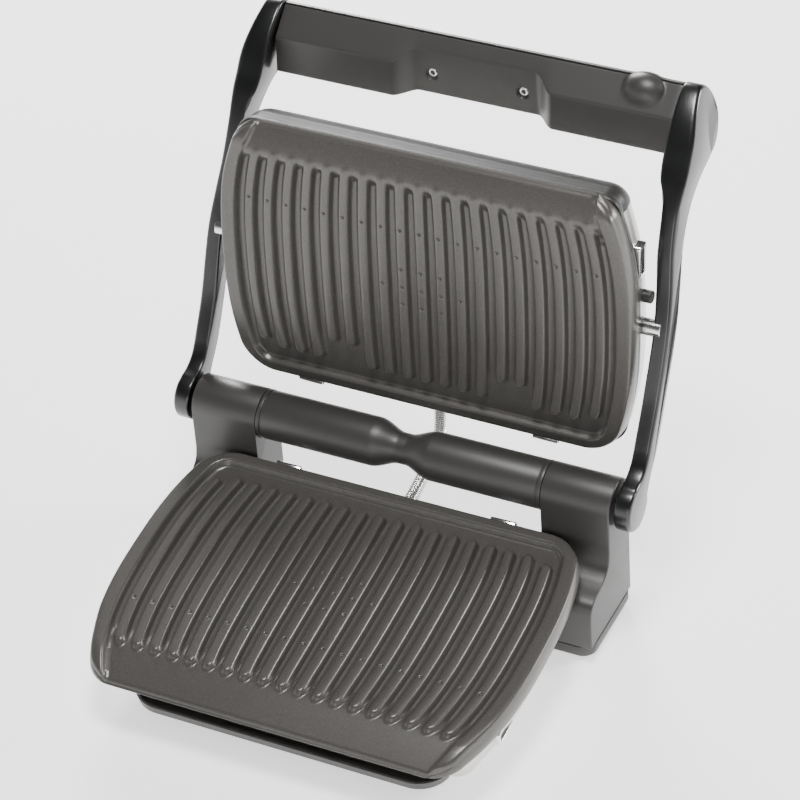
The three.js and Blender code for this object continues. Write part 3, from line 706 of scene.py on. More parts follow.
def grill_plate(name, p, lip, is_upper, place):
    """A cast plate: the cooking side as a height over a barrel-shaped grid, then a skirt and an underside.

    Columns keep one barrel coordinate s, rows run from the lip to the rear edge, and x is s draw_in(y)."""
    s, along = grid_lines(p, lip)
    t = (along + lip) / (p.rear + lip)
    rear_end, lip_end = p.rear - arc_back(p, s, CORNER), -lip + arc_back(p, s, LIP_CORNER)
    y = lip_end + t[:, None] * (rear_end - lip_end)
    grid_s = np.broadcast_to(s, y.shape)
    top = np.stack([grid_s * draw_in(y), y, cooking_height(p, grid_s, y, lip, is_upper)], -1)
    number = np.arange(y.size).reshape(y.shape)
    border = np.concatenate([number[0, :-1], number[:-1, -1], number[-1, :0:-1], number[:0:-1, 0]])
    flat = top.reshape(-1, 3)
    edge = flat[border]
    skirt = []
    for outset, share, lift in SKIRT:
        height = edge[:, 2] + (-p.skirt - edge[:, 2]) * share + lift
        skirt.append(np.column_stack([shrunk(edge[:, :2], -outset), height]))
    belt = np.concatenate([border, len(flat) + np.arange(len(border) * len(SKIRT))])
    belt = belt.reshape(len(SKIRT) + 1, len(border))
    turned_belt = np.roll(belt, -1, 1)
    walls = np.stack([belt[:-1], turned_belt[:-1], turned_belt[1:], belt[1:]], -1).reshape(-1, 4)
    points = np.vstack([flat] + skirt)
    if is_upper:
        points = points * [-1.0, 1.0, -1.0]
    faces = quads(*y.shape).tolist() + walls.tolist() + [belt[-1].tolist()]
    return piece(name, place(points), faces, sharp=55.0)


class GRILL_OT_plates(Operator):
    """Add the two cast plates with their ribs, dimples, rims and lips"""

    bl_idname = "grill.plates"
    bl_label = "Plates"

    def execute(self, context):
        p = in_mm(context.scene.grill_plate)
        lower = grill_plate("lower_grill_plate", p, p.lip_low, False, ON_DECK)
        wear(lower, "lower_plate_body", "coating", "lower_plate")
        upper = grill_plate("upper_grill_plate", p, p.lip_up, True, ON_HEAD)
        wear(upper, "upper_plate_body", "coating", "upper_plate")
        return {"FINISHED"}


# ---- base ----------------------------------------------------------------------------------------
BASE_TOP = 10.0                        # height of the base pan
FOOT_FRONT = 69.0                      # front of the towers' feet, and of the pan under them
TONGUE_HALF, TONGUE_FRONT = 118.0, 38.0  # half width of the pan's tongue, and its front before the deck point
# inset and height of the pan's edge, from its underside up to its top
PAN_EDGE = [(6.0, 0.0), (2.4, 0.0), (1.2, 0.5), (0.4, 1.4), (0.0, 2.8), (0.0, BASE_TOP - 0.5),
            (0.15, BASE_TOP - 0.15), (0.5, BASE_TOP), (6.0, BASE_TOP)]


def tower_side(b):
    """Anticlockwise (y, z) outline of a tower: a dome round the tube over a straight neck that sweeps
    forward into a foot."""
    foot = -b.base_drop + BASE_TOP + 0.35
    front, rear = HINGE_Y - b.tube, HINGE_Y + b.tube
    angle = np.radians(np.linspace(0.0, 180.0, 41))
    dome = np.column_stack([HINGE_Y + b.tube * np.cos(angle), HINGE_Z + b.tube * np.sin(angle)])
    neck = [(front, 14.0), (front - 0.3, 3.0), (front - 2.6, -5.5), (front - 9.0, -11.0), (88.0, -14.0),
            (76.0, -17.0), (70.8, -22.0), (FOOT_FRONT, -30.0), (FOOT_FRONT, foot + 8.0)]
    flare = curve(neck, 8)
    underside = rounded(rectangle(FOOT_FRONT, rear, foot, foot + 20.0), 0.8, 4)[:10]  # two lower corners
    return np.vstack([underside, [(rear, foot + 30.0)], dome, flare])


def base_outline(b):
    """Anticlockwise outline of the base pan: a wide rear bar under the towers and a narrower tongue."""
    wide, rear, tongue = b.tower_out, HINGE_Y + b.tube, TONGUE_HALF
    corners = [(-tongue, -TONGUE_FRONT), (tongue, -TONGUE_FRONT), (tongue, FOOT_FRONT), (wide, FOOT_FRONT),
               (wide, rear), (-wide, rear), (-wide, FOOT_FRONT), (-tongue, FOOT_FRONT)]
    return rounded(corners, [8.0, 8.0, 3.0, 11.0, 6.0, 6.0, 11.0, 3.0], 8)


def mirrored(place, side):
    """The place as it is, or seen in a mirror across the middle plane."""
    return place if side == "right" else (lambda points: place(np.asarray(points) * [-1.0, 1.0, 1.0]))


class GRILL_OT_base(Operator):
    """Add the base pan and the two towers, and finish the feet and the cord bush"""

    bl_idname = "grill.base"
    bl_label = "Base and Towers"

    def execute(self, context):
        b = in_mm(context.scene.grill_body)
        pan = skin("base_shell", ON_BASE(stacked(base_outline(b), PAN_EDGE, -b.base_drop)))
        wear(pan, "base", "plastic", "base_pan")
        outline = tower_side(b)
        for side in ("right", "left"):
            place = mirrored(ON_BASE, side)
            tower = slab_x(f"tower_shell_{side}", place, outline, b.tower_in, b.tower_out, 0.4, 1.3)
            wear(tower, "base", "plastic", f"tower_{side}")
            for end in ("front", "rear"):
                paint_node(f"foot_{end}_{side}", "rubber")
        paint_node("cord_inlet", "rubber")
        return {"FINISHED"}


TUBE_SINK = 0.25       # how far the tube's skin lies below its collars


def tube_profile(b):
    """(along, radius) of the hinge tube: a full cylinder with a collar at each end, and between them a waist
    whose radius is waist + (full - waist) ease(t)^0.85."""
    end, waist_half = b.tower_in - 0.35, b.waist_half
    steps = [(0.0, 0.7), (0.25, 0.2), (0.7, 0.0), (2.6, 0.0), (2.9, 0.1), (3.1, 0.7), (3.8, 0.7), (4.0, 0.4),
             (4.4, TUBE_SINK)]
    collar = [(end, 4.0)] + [(end - along, b.tube - inset) for along, inset in steps]
    x = np.linspace(waist_half, 0.0, 26)
    share = ease((x - 3.0) / (waist_half - 3.0)) ** 0.85
    radius = b.waist + (b.tube - TUBE_SINK - b.waist) * share
    right = np.vstack([collar, np.column_stack([x, radius])])
    left = right[:-1][::-1] * [-1.0, 1.0]
    return np.vstack([right, left])


class GRILL_OT_hinge(Operator):
    """Add the waisted hinge tube, and finish the shaft in it"""

    bl_idname = "grill.hinge"
    bl_label = "Hinge Tube"

    def execute(self, context):
        b = in_mm(context.scene.grill_body)
        tube = turned("hinge_barrel", ON_LID, tube_profile(b), (0.0, 0.0, 0.0), 0, 96)
        wear(tube, "base", "plastic", "hinge_tube")
        paint_node("shaft", "bright")
        return {"FINISHED"}


# inset, lip reach and height of the lower tub's wall, from its top edge down
TUB = [(1.9, 105.5, -13.5), (2.1, 105.0, -16.0), (2.9, 103.5, -20.0), (4.5, 101.0, -25.0), (7.5, 97.0, -34.0),
       (12.0, 91.0, -42.0), (20.0, 83.0, -50.0), (30.0, 73.5, -58.5)]


def cup_rings(p, wall, thickness, sign):
    """Rings of an open cup from its inner end face round the rim to its outer end face.  Its wall follows
    rows of inset, reach and height, and sign is the way that the wall's thickness goes at the end face."""
    outer = curve(wall, 4)
    inner = outer + [thickness, -thickness, 0.0]
    inner[-1, 2] -= sign * thickness
    return plate_rings(p, inner[::-1]), plate_rings(p, outer)


TAB_HALF, TAB_WALL = 9.6, 0.9            # half width and thickness of a tab
LOWER_TAB_X, UPPER_TAB_X = 85.75, 94.0   # middle plane to a tab's middle
# (y, h) of a tab's middle line, up behind the rim and over
TAB_LINE = [(104.5, -20.0), (104.5, -6.0), (104.7, -1.9), (104.2, -0.4), (102.9, 0.1), (101.6, -0.3)]


def clip_tab(name, place, middle, flip):
    """A strip of sheet metal bent over at its top: half a thickness to each side of the tab's middle line,
    across the tab's width."""
    spine = curve(TAB_LINE, 5)
    along = np.gradient(spine, axis=0)
    along /= np.linalg.norm(along, axis=1, keepdims=True)
    side = np.column_stack([-along[:, 1], along[:, 0]]) * (TAB_WALL / 2)
    section = np.vstack([spine - side, (spine + side)[::-1]])
    stations = ((-TAB_HALF, 0.175), (-TAB_HALF + 0.3, 0.0), (TAB_HALF - 0.3, 0.0), (TAB_HALF, 0.175))
    rings = np.array([across_ring(middle + x, shrunk(section, inset)) for x, inset in stations])
    return skin(name, place(rings * [1.0, 1.0, flip]), sharp=50.0)


class GRILL_OT_tub(Operator):
    """Add the steel tub under the lower plate, and finish what is in it"""

    bl_idname = "grill.tub"
    bl_label = "Lower Tub"

    def execute(self, context):
        p = in_mm(context.scene.grill_plate)
        b = in_mm(context.scene.grill_body)
        inner, outer = cup_rings(p, TUB, b.shell, -1.0)
        floor = ON_BASE(np.array([0.0, 0.0, -b.base_drop + BASE_TOP + 0.3]))[2]
        rings = ON_DECK(np.vstack([inner, outer]))
        rings[:len(inner), :, 2] = np.maximum(rings[:len(inner), :, 2], floor + b.shell * MM)
        rings[..., 2] = np.maximum(rings[..., 2], floor)
        wear(skin("lower_tub", rings), "base", "steel", "lower_housing")
        paint_node("lower_element", "heater")
        paint_node("lower_reflector", "sheet")
        for side, sign in (("right", 1.0), ("left", -1.0)):
            tab = clip_tab(f"lower_tab_{side}", ON_DECK, sign * LOWER_TAB_X, 1.0)
            wear(tab, "base", "bright", f"lower_clip_{side}")
        return {"FINISHED"}


# ---- latches -------------------------------------------------------------------------------------
LATCH_Y = (-64.0, -38.0)               # front and rear of the latches' frames
# lowest and highest h of each latch's frame, the place of its axes and the body that its frame rides on
LATCHES = {"lower": (-32.5, -20.5, ON_DECK, "base"), "upper": (21.0, 33.5, ON_HEAD, "head")}
# how far from the frame's outer face, and inset, of the button's domed end
BUTTON_END = [(1.6, 0.0), (1.0, 0.25), (0.75, 0.8), (1.1, 1.6), (1.3, 2.4)]


def yh_rings(x_and_inset, corners, radius):
    """Rounded rectangles in y and h, one for each (x, inset)."""
    return [across_ring(x, shrunk(rounded(corners, radius, 5), inset)) for x, inset in x_and_inset]


def latch_frame(name, place, x0, x1, h0, h1):
    """A rounded rectangle with a softened outer edge, and a hole through it."""
    outside = rectangle(*LATCH_Y, h0, h1)
    inside = rectangle(LATCH_Y[0] + 3, LATCH_Y[1] - 3, h0 + 2.8, h1 - 2.8)
    rings = yh_rings([(x0, 0.0), (x1 - 0.8, 0.0), (x1 - 0.2, 0.2), (x1, 0.8)], outside, 3.0)
    rings += yh_rings([(x1, -0.6), (x1 - 0.4, -0.1), (x1 - 1.0, 0.0), (x0, 0.0)], inside, 1.6)
    return skin(name, place(rings), wrap=True)


def latch_button(name, place, x0, x1, h0, h1):
    """A rounded rectangle that fills the frame's hole, with a dished end."""
    corners = rectangle(LATCH_Y[0] + 3.4, LATCH_Y[1] - 3.4, h0 + 3.2, h1 - 3.2)
    stations = [(x0 + 2.4, 0.0)] + [(x1 - back, inset) for back, inset in BUTTON_END]
    return skin(name, place(yh_rings(stations, corners, 1.2)))


class GRILL_OT_latches(Operator):
    """Add the two release latches: a bright frame let into the wall and a dished button in it"""

    bl_idname = "grill.latches"
    bl_label = "Latches"

    def execute(self, context):
        for level, (h0, h1, place, body) in LATCHES.items():
            x0, x1 = (corner[0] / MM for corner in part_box(f"{level}_latch_frame"))
            bezel = latch_frame(f"{level}_latch_bezel", place, x0, x1, h0, h1)
            wear(bezel, body, "bright", f"{level}_latch_frame")
            cap = latch_button(f"{level}_latch_button", place, x0, x1, h0, h1)
            wear(cap, f"{level}_latch_body", "dark", f"{level}_latch")
        return {"FINISHED"}


# ---- drip tray -----------------------------------------------------------------------------------
TRAY_HALF, TRAY_FRONT, TRAY_REAR = 123.0, -98.0, -42.0
TRAY_LOW = 1.0                         # the tray's underside above the pan's
BAR_X, BAR_Y = (-48.0, 64.0), (-87.0, -84.6)     # ends and sides of the bright strip
# inset and height of the tray's wall, from its underside over its rim to its floor
TRAY_WALL = [(6.0, 0.0), (3.4, 0.0), (2.2, 0.5), (1.4, 1.6), (0.2, 7.4), (0.0, 7.7), (0.0, 8.05), (0.3, 8.3),
             (1.5, 8.3), (1.8, 8.05), (1.9, 7.4), (3.0, 3.0), (3.6, 2.2), (4.6, 1.8), (8.0, 1.7)]


class GRILL_OT_tray(Operator):
    """Add the shallow drip tray and the bright strip in it"""

    bl_idname = "grill.tray"
    bl_label = "Drip Tray"

    def execute(self, context):
        b = in_mm(context.scene.grill_body)
        low = -b.base_drop + TRAY_LOW
        corners = [(-TRAY_HALF, TRAY_REAR), (-TRAY_HALF, TRAY_FRONT), (TRAY_HALF, TRAY_FRONT),
                   (TRAY_HALF, TRAY_REAR)]
        outline = rounded(corners, [4.0, 25.0, 25.0, 4.0], 14)
        wear(skin("tray_dish", ON_BASE(stacked(outline, TRAY_WALL, low))), "tray", "tray", "drip_tray")
        rod = rounded(rectangle(*BAR_Y, low + 2.3, low + 5.4), 1.0, 5)
        strip = slab_x("tray_bar", ON_BASE, rod, *BAR_X, 0.8, 0.8)
        wear(strip, "tray", "bright", "tray_strip")
        return {"FINISHED"}


# ---- lid -----------------------------------------------------------------------------------------
# (y, z) from the hinge axis: the arm's front edge going up, and its rear edge coming down
ARM_FRONT = [(-1.5, 18.4), (6.0, 20.0), (13.5, 24.2), (19.0, 30.8), (23.9, 39.0), (37.5, 63.0), (48.5, 88.0),
             (59.2, 113.0), (71.2, 138.0), (82.0, 163.0), (92.8, 186.0), (103.0, 202.5), (111.5, 213.5),
             (121.5, 227.5), (133.0, 240.0), (144.5, 249.0), (154.5, 253.4), (162.5, 251.2)]
ARM_REAR = [(168.5, 243.5), (171.0, 229.0), (169.8, 214.0), (165.0, 203.0), (154.0, 197.0), (137.0, 190.5),
            (117.0, 177.0), (101.0, 157.5), (88.5, 135.0), (77.3, 112.0), (66.6, 87.0), (55.4, 62.0),
            (42.6, 37.5), (34.0, 23.5), (24.5, 12.0)]
ARM_BOSS = 18.0
# height, and how far the arm's inner and outer face are shifted there
ARM_SHIFT = [(-20, 0, 0), (62, 0, 0), (88, 0.5, 0.3), (113, 0.5, 0), (137, -2, -2.2), (160, -5, -5.1),
             (184, -6.2, -6.5), (197, -8, -6), (205, -12, -5.5), (215, -13.7, -5.5), (227, -13.7, -6),
             (239, -13.7, -8.5), (254, -13.7, -13)]


def arm_outline():
    """Anticlockwise (y, z) outline of an arm: its boss is an arc about the hinge axis, its edges a curve."""
    angle = np.radians(np.linspace(-258.0, 4.0, 19))
    boss = np.column_stack([ARM_BOSS * np.cos(angle), ARM_BOSS * np.sin(angle)])
    rear, front = np.array(ARM_REAR)[::-1], np.array(ARM_FRONT)[::-1]
    return curve(np.vstack([boss, rear, front]), 6, True)


def arm_bend(b):
    """A map that draws an arm in to the handle: x moves by the inner face's shift at that height, blended
    into the outer face's across the thickness."""
    x0, x1 = b.arm_in, b.arm_in + b.arm_thick
    shift = curve(ARM_SHIFT, 6)

    def bend(points):
        inner = np.interp(points[..., 2], shift[:, 0], shift[:, 1])
        outer = np.interp(points[..., 2], shift[:, 0], shift[:, 2])
        share = (points[..., 0] - x0) / (x1 - x0)
        moved = points.copy()
        moved[..., 0] += inner + (outer - inner) * share
        return moved

    return bend


class GRILL_OT_arms(Operator):
    """Add the two bent arms"""

    bl_idname = "grill.arms"
    bl_label = "Arms"

    def execute(self, context):
        b = in_mm(context.scene.grill_body)
        outline = arm_outline()
        for side in ("right", "left"):
            arm = slab_x(f"arm_bar_{side}", mirrored(ON_LID, side), outline, b.arm_in, b.arm_in + b.arm_thick,
                         1.6, 2.6, arm_bend(b), sharp=40.0)
            wear(arm, "lid", "black", f"arm_{side}")
        return {"FINISHED"}


SEAM, SEAM_GAP = 158.0, 0.12           # the seam behind the hinge axis, and half its gap
GRIP_BACK, COVER_FRONT = SEAM - SEAM_GAP, SEAM + SEAM_GAP
HANDLE_LOW, HANDLE_HIGH = 204.6, 251.5
# (y, z) corners of the handle's sections: the grip, the grip at its finger recess, and the cover
GRIP = [(136.0, HANDLE_LOW), (GRIP_BACK, HANDLE_LOW), (GRIP_BACK, HANDLE_HIGH), (138.2, 233.4)]
GRIP_RECESS = [(149.4, HANDLE_LOW), (GRIP_BACK, HANDLE_LOW), (GRIP_BACK, HANDLE_HIGH), (148.4, 242.1)]
COVER = [(COVER_FRONT, HANDLE_LOW), (162.5, 205.5), (169.0, 213.5), (169.0, 242.6), (161.5, 250.8),
         (COVER_FRONT, HANDLE_HIGH)]
RECESS_END, RECESS_RUN = 63.0, 17.0    # where the finger recess ends, and the length over which it fades
SCREW_X, SCREW_Z = 35.5, 222.0
SCREW_WELL, SCREW_SUNK = 4.9, 2.6      # radius and depth of the well round a screw
KEYS, KEY_Z = {"power": -124.0, "start": -96.0}, 228.5
KEY_WELL, KEY_SUNK = 9.7, 4.2          # radius and depth of the well round a key
WELL_WALL = 0.8                        # width of a well's wall
DOME_X, DOME_Y, DOME_Z = 127.0, 155.6, 240.6
DOME_R, DOME_LONG = 13.6, 17.0         # the dome's radius, and its half length along the handle


def dome_out(rings, keep):
    """Pushes a handle's section out to an ellipsoid where that is bigger, all but the points in keep.

    In each section the ellipsoid is a circle of radius R sqrt(1 - (x - X)^2 / L^2), and the new distance from
    its middle is the soft maximum (r + c + sqrt((r - c)^2 + k^2)) / 2."""
    offset = rings[..., 1:] - [DOME_Y, DOME_Z]
    r = np.linalg.norm(offset, axis=-1)
    inside = 1.0 - ((rings[..., 0] - DOME_X) / DOME_LONG) ** 2
    circle = DOME_R * np.sqrt(np.maximum(inside, 0.0))
    soft = 1.1 * ease(inside * 4.0)
    wide = 0.5 * (r + circle + np.sqrt((r - circle) ** 2 + soft**2))
    scale = np.where(keep | (inside <= 0.0), 1.0, wide / np.maximum(r, 1e-6))
    moved = rings.copy()
    moved[..., 1:] = [DOME_Y, DOME_Z] + offset * scale[..., None]
    return moved


def handle_stations(half):
    """Places along the handle, closer together at the recess's ends, at the screws, the keys and the dome."""
    one_side = spread((0.0, 28.0, 4.0), (28.0, 43.0, 0.55), (43.0, 66.0, 1.0), (66.0, 86.0, 5.0),
                      (86.0, 146.0, 0.8), (146.0, half - 0.8, 4.0))
    return np.concatenate([-one_side[:0:-1], one_side])


def handle_ends(rings, half):
    """Adds a small round edge at each end of a row of sections."""
    made = [rings]
    for sign, ring in ((-1.0, rings[0]), (1.0, rings[-1])):
        caps = []
        for along, inset in ((0.3, 0.08), (0.6, 0.3), (0.8, 0.8)):
            cap = ring.copy()
            cap[:, 0] = sign * (half - 0.8 + along)
            cap[:, 1:] = shrunk(ring[:, 1:], inset)
            caps.append(cap)
        made = [np.array(caps[::-1])] + made if sign < 0 else made + [np.array(caps)]
    return np.concatenate(made)


def grip_rings(b):
    """The grip: a section with a flat front under a slanted top, blended into a thinner one over the middle
    for the fingers, with a round well for each screw."""
    x = handle_stations(b.handle_half)
    share = ease((RECESS_END - np.abs(x)) / RECESS_RUN)[:, None, None]
    corners = np.array(GRIP) * (1.0 - share) + np.array(GRIP_RECESS) * share
    section = rounded(corners, [2.2, 0.3, 0.8, 3.4], 8, 26)
    rings = np.concatenate([np.broadcast_to(x[:, None, None], section.shape[:2] + (1,)), section], -1)
    rings = dome_out(rings, rings[..., 1] > SEAM - 0.3)
    rings[..., 1] = np.minimum(rings[..., 1], GRIP_BACK)
    away = np.hypot(np.abs(rings[..., 0]) - SCREW_X, rings[..., 2] - SCREW_Z)
    well = (rings[..., 1] < 153.0) * ease((SCREW_WELL - away) / WELL_WALL)
    rings[..., 1] += SCREW_SUNK * well
    return handle_ends(rings, b.handle_half)


def cover_rings(b):
    """The cover behind the seam: one section along the handle, with its dome round the indicator and a round
    well for each key."""
    x = handle_stations(b.handle_half)
    section = rounded(COVER, [0.3, 2.2, 4.0, 4.0, 2.0, 0.3], 7, 34)
    rings = np.empty((len(x), len(section), 3))
    rings[..., 0] = x[:, None]
    rings[..., 1:] = section
    rings = dome_out(rings, (rings[..., 1] < SEAM + 0.3) & (rings[..., 2] < 250.0))
    rings[..., 1] = np.maximum(rings[..., 1], COVER_FRONT)
    for key_x in KEYS.values():
        away = np.hypot(rings[..., 0] - key_x, rings[..., 2] - KEY_Z)
        well = (rings[..., 1] > 166.0) * ease((KEY_WELL - away) / WELL_WALL)
        rings[..., 1] -= KEY_SUNK * well
    return handle_ends(rings, b.handle_half)


class GRILL_OT_handle(Operator):
    """Add the handle's grip and cover"""

    bl_idname = "grill.handle"
    bl_label = "Handle"

    def execute(self, context):
        b = in_mm(context.scene.grill_body)
        grip = skin("handle_front", ON_LID(grip_rings(b)))
        wear(grip, "lid", "plastic", "handle_grip")
        cover = skin("handle_back", ON_LID(cover_rings(b)))
        wear(cover, "lid", "plastic", "handle_cover")
        return {"FINISHED"}


# (distance behind the hinge axis, radius) of the fittings, from the middle out and round
SCREW_HEAD = [(151.9, 0.0), (151.9, 1.5), (150.9, 1.9), (150.7, 2.6), (150.9, 3.3), (151.5, 3.9),
              (153.6, 4.0), (153.6, 0.0)]
BEZEL = [(167.4, 11.7), (170.0, 11.9), (170.6, 12.3), (170.9, 12.9), (170.8, 13.5), (170.3, 14.0),
         (167.4, 14.2)]
WINDOW = [(169.3, 0.0), (169.3, 11.2), (169.8, 11.2), (170.3, 10.6), (170.7, 7.0), (170.8, 0.0)]
KEY_CAP = [(166.4, 0.0), (166.4, 7.9), (169.6, 7.9), (170.2, 7.6), (170.5, 7.0), (170.3, 5.0), (170.0, 0.0)]


class GRILL_OT_handle_fittings(Operator):
    """Add the grip's screws, the round indicator and the two keys"""

    bl_idname = "grill.handle_fittings"
    bl_label = "Screws, Indicator and Keys"

    def execute(self, context):
        for side, sign in (("right", 1.0), ("left", -1.0)):
            middle = (sign * SCREW_X, 0.0, SCREW_Z)
            screw = turned(f"handle_screw_{side}", ON_LID, SCREW_HEAD, middle, 1, 40)
            wear(screw, "lid", "bright", f"grip_screw_{side}")
        middle = (DOME_X, 0.0, KEY_Z)
        wear(turned("indicator_bezel", ON_LID, BEZEL, middle, 1, 72), "lid", "bright", "indicator_ring")
        wear(turned("indicator_window", ON_LID, WINDOW, middle, 1, 72), "lid", "lens", "indicator_lens")
        for key, x in KEYS.items():
            button = turned(f"key_cap_{key}", ON_LID, KEY_CAP, (x, 0.0, KEY_Z), 1, 56)
            wear(button, f"{key}_key_body", "dark", f"key_{key}")
        return {"FINISHED"}


# ---- head ----------------------------------------------------------------------------------------
# inset, lip reach and height of the head's crown, from its lower edge up
CROWN = [(1.6, 104.0, 20.35), (1.4, 104.0, 24.0), (1.5, 104.0, 29.0), (3.8, 101.2, 38.0), (10.0, 95.0, 46.5),
         (21.0, 85.0, 52.5), (36.0, 72.0, 55.0)]
# the same of the dark frame round the upper plate, from its inner face under to its outer edge
HEAD_FRAME = [(9.0, 96.0, 19.8), (9.0, 96.0, 13.5), (2.0, 102.5, 13.35), (-0.5, 104.8, 13.35),
              (-0.9, 105.2, 13.8), (-0.8, 105.8, 15.5), (-0.3, 105.9, 17.5), (0.2, 105.7, 19.4),
              (0.6, 105.4, 20.0)]
NOSE_Y, NOSE_GAP = -90.0, 0.35         # where the steel ends and the nose begins


def halved(obj, place, y, keep_rear):
    """Cuts a closed piece at one y of its place and closes the cut."""
    work = bmesh.new()
    work.from_mesh(obj.data)
    away = Vector(place.y_axis * (-1.0 if keep_rear else 1.0))
    geometry = work.verts[:] + work.edges[:] + work.faces[:]
    made = bmesh.ops.bisect_plane(work, geom=geometry, dist=1e-7, plane_co=Vector(place((0.0, y, 0.0))),
                                  plane_no=away, clear_outer=True)
    edges = [e for e in made["geom_cut"] if isinstance(e, bmesh.types.BMEdge)]
    bmesh.ops.triangle_fill(work, use_beauty=True, use_dissolve=False, edges=edges)
    bmesh.ops.recalc_face_normals(work, faces=work.faces)
    work.to_mesh(obj.data)
    work.free()
    obj.data.set_sharp_from_angle(angle=math.radians(SHARP))
    return obj


class GRILL_OT_head(Operator):
    """Add the head's steel shell, its dark nose and frame, and finish what is in it"""

    bl_idname = "grill.head"
    bl_label = "Head"

    def execute(self, context):
        p = in_mm(context.scene.grill_plate)
        b = in_mm(context.scene.grill_body)
        rings = ON_HEAD(np.vstack(cup_rings(p, CROWN, b.shell, 1.0)))
        shell = halved(skin("head_shell", rings), ON_HEAD, NOSE_Y, True)
        wear(shell, "head", "steel", "upper_housing")
        nose = halved(skin("head_nose", rings), ON_HEAD, NOSE_Y - NOSE_GAP, False)
        wear(nose, "head", "dark", "upper_nose")
        surround = skin("head_frame", ON_HEAD(plate_rings(p, HEAD_FRAME)), wrap=True)
        wear(surround, "head", "dark", "upper_frame")
        paint_node("upper_element", "heater")
        paint_node("upper_reflector", "sheet")
        for side, sign in (("right", 1.0), ("left", -1.0)):
            tab = clip_tab(f"upper_tab_{side}", ON_HEAD, sign * UPPER_TAB_X, -1.0)
            wear(tab, "head", "bright", f"upper_clip_{side}")
        return {"FINISHED"}


def bolt(start, end, head, shank, bevel):
    """(along, radius) of a bolt that lies across the grill: a flat head with broken edges, then a shank."""
    return [(start, 0.0), (start, head - 0.4), (start + 0.4, head), (start + 2.6, head),
            (start + 3.0, head - 0.4), (start + 3.2, shank), (end - bevel, shank), (end, shank - bevel),
            (end, 0.0)]


STOP = (0.0, -21.0, 28.0)              # middle of the stop bolts, in the axes of the head


class GRILL_OT_pins(Operator):
    """Add the two pins on each side between the head and the arm"""

    bl_idname = "grill.pins"
    bl_label = "Pins"

    def execute(self, context):
        b = in_mm(context.scene.grill_body)
        for side in ("right", "left"):
            place = mirrored(ON_HEAD, side)
            pivot = bolt(146.0, b.arm_in + 6.0, 9.0, 6.4, 0.5)
            pin = turned(f"pivot_bolt_{side}", place, pivot, (0.0, 0.0, PIVOT_UP), 0, 48)
            wear(pin, "head", "bright", f"pivot_pin_{side}")
            stop = bolt(147.0, b.arm_in - 3.8, 7.5, 4.7, 0.6)
            pin = turned(f"stop_bolt_{side}", place, stop, STOP, 0, 40)
            wear(pin, "head", "dark", f"stop_pin_{side}")
        return {"FINISHED"}


# ---- conduit -------------------------------------------------------------------------------------
CONDUIT_X, CONDUIT_LOW, CONDUIT_HIGH = -5.0, -25.0, 34.0
GLAND_BASE_Y, GLAND_HEAD_Y = 94.0, 96.0
# (y, z) of the conduit's lower part, in the axes of the base, and y of its upper end, in those of the head
CONDUIT_RISE = [(GLAND_BASE_Y, CONDUIT_LOW), (112.0, CONDUIT_LOW), (139.0, -21.0), (157.0, -16.5),
                (176.0, -10.0), (189.0, 0.0)]
CONDUIT_ENTRY = (134.0, 112.0, 95.0)
CONDUIT_SPLIT = 0.62                   # share of the route in the lower run; the rest is in the upper run
# (along, radius) of a gland's collar
COLLAR = [(0.0, 6.0), (0.0, 7.9), (0.6, 8.4), (3.0, 8.4), (3.6, 7.6), (8.4, 7.6), (9.2, 6.9), (9.6, 6.2)]


def conduit_route():
    """The conduit's middle line in the axes of the base: a curve from the base's gland to the head's."""
    low = [(CONDUIT_X, y, z) for y, z in CONDUIT_RISE]
    high = (ON_HEAD([(CONDUIT_X, y, CONDUIT_HIGH) for y in CONDUIT_ENTRY]) - ON_BASE.origin) / MM
    return curve(np.vstack([low, high]), 24)


def ridged_tube(name, route, radius, pitch=1.7, depth=0.22, sides=28):
    """A tube along a route with helical ridges: its radius is R + d cos(2 pi s / pitch - angle).  The route
    is smoothed by a bell-shaped mean, and its ends stay where they are."""
    step = np.linalg.norm(np.diff(route, axis=0), axis=1)
    run = np.concatenate([[0.0], np.cumsum(step)])
    s = np.linspace(0.0, run[-1], int(run[-1] / pitch * 7))
    line = np.column_stack([np.interp(s, run, route[:, k]) for k in range(3)])
    kernel = np.hanning(15)
    padded = np.pad(line, ((7, 7), (0, 0)), mode="reflect", reflect_type="odd")
    line = np.column_stack([np.convolve(padded[:, k], kernel / kernel.sum(), "valid") for k in range(3)])
    along = np.gradient(line, axis=0)
    along /= np.linalg.norm(along, axis=1, keepdims=True)
    first = [1.0, 0.0, 0.0] - along * along[:, :1]
    first /= np.linalg.norm(first, axis=1, keepdims=True)
    second = np.cross(along, first)
    angle = np.linspace(0.0, 2 * math.pi, sides, endpoint=False)
    r = radius + depth * np.cos(2 * math.pi * s[:, None] / pitch - angle)
    out = np.cos(angle)[:, None] * first[:, None] + np.sin(angle)[:, None] * second[:, None]
    rings = line[:, None] + r[..., None] * out
    return skin(name, ON_BASE(rings), sharp=80.0)


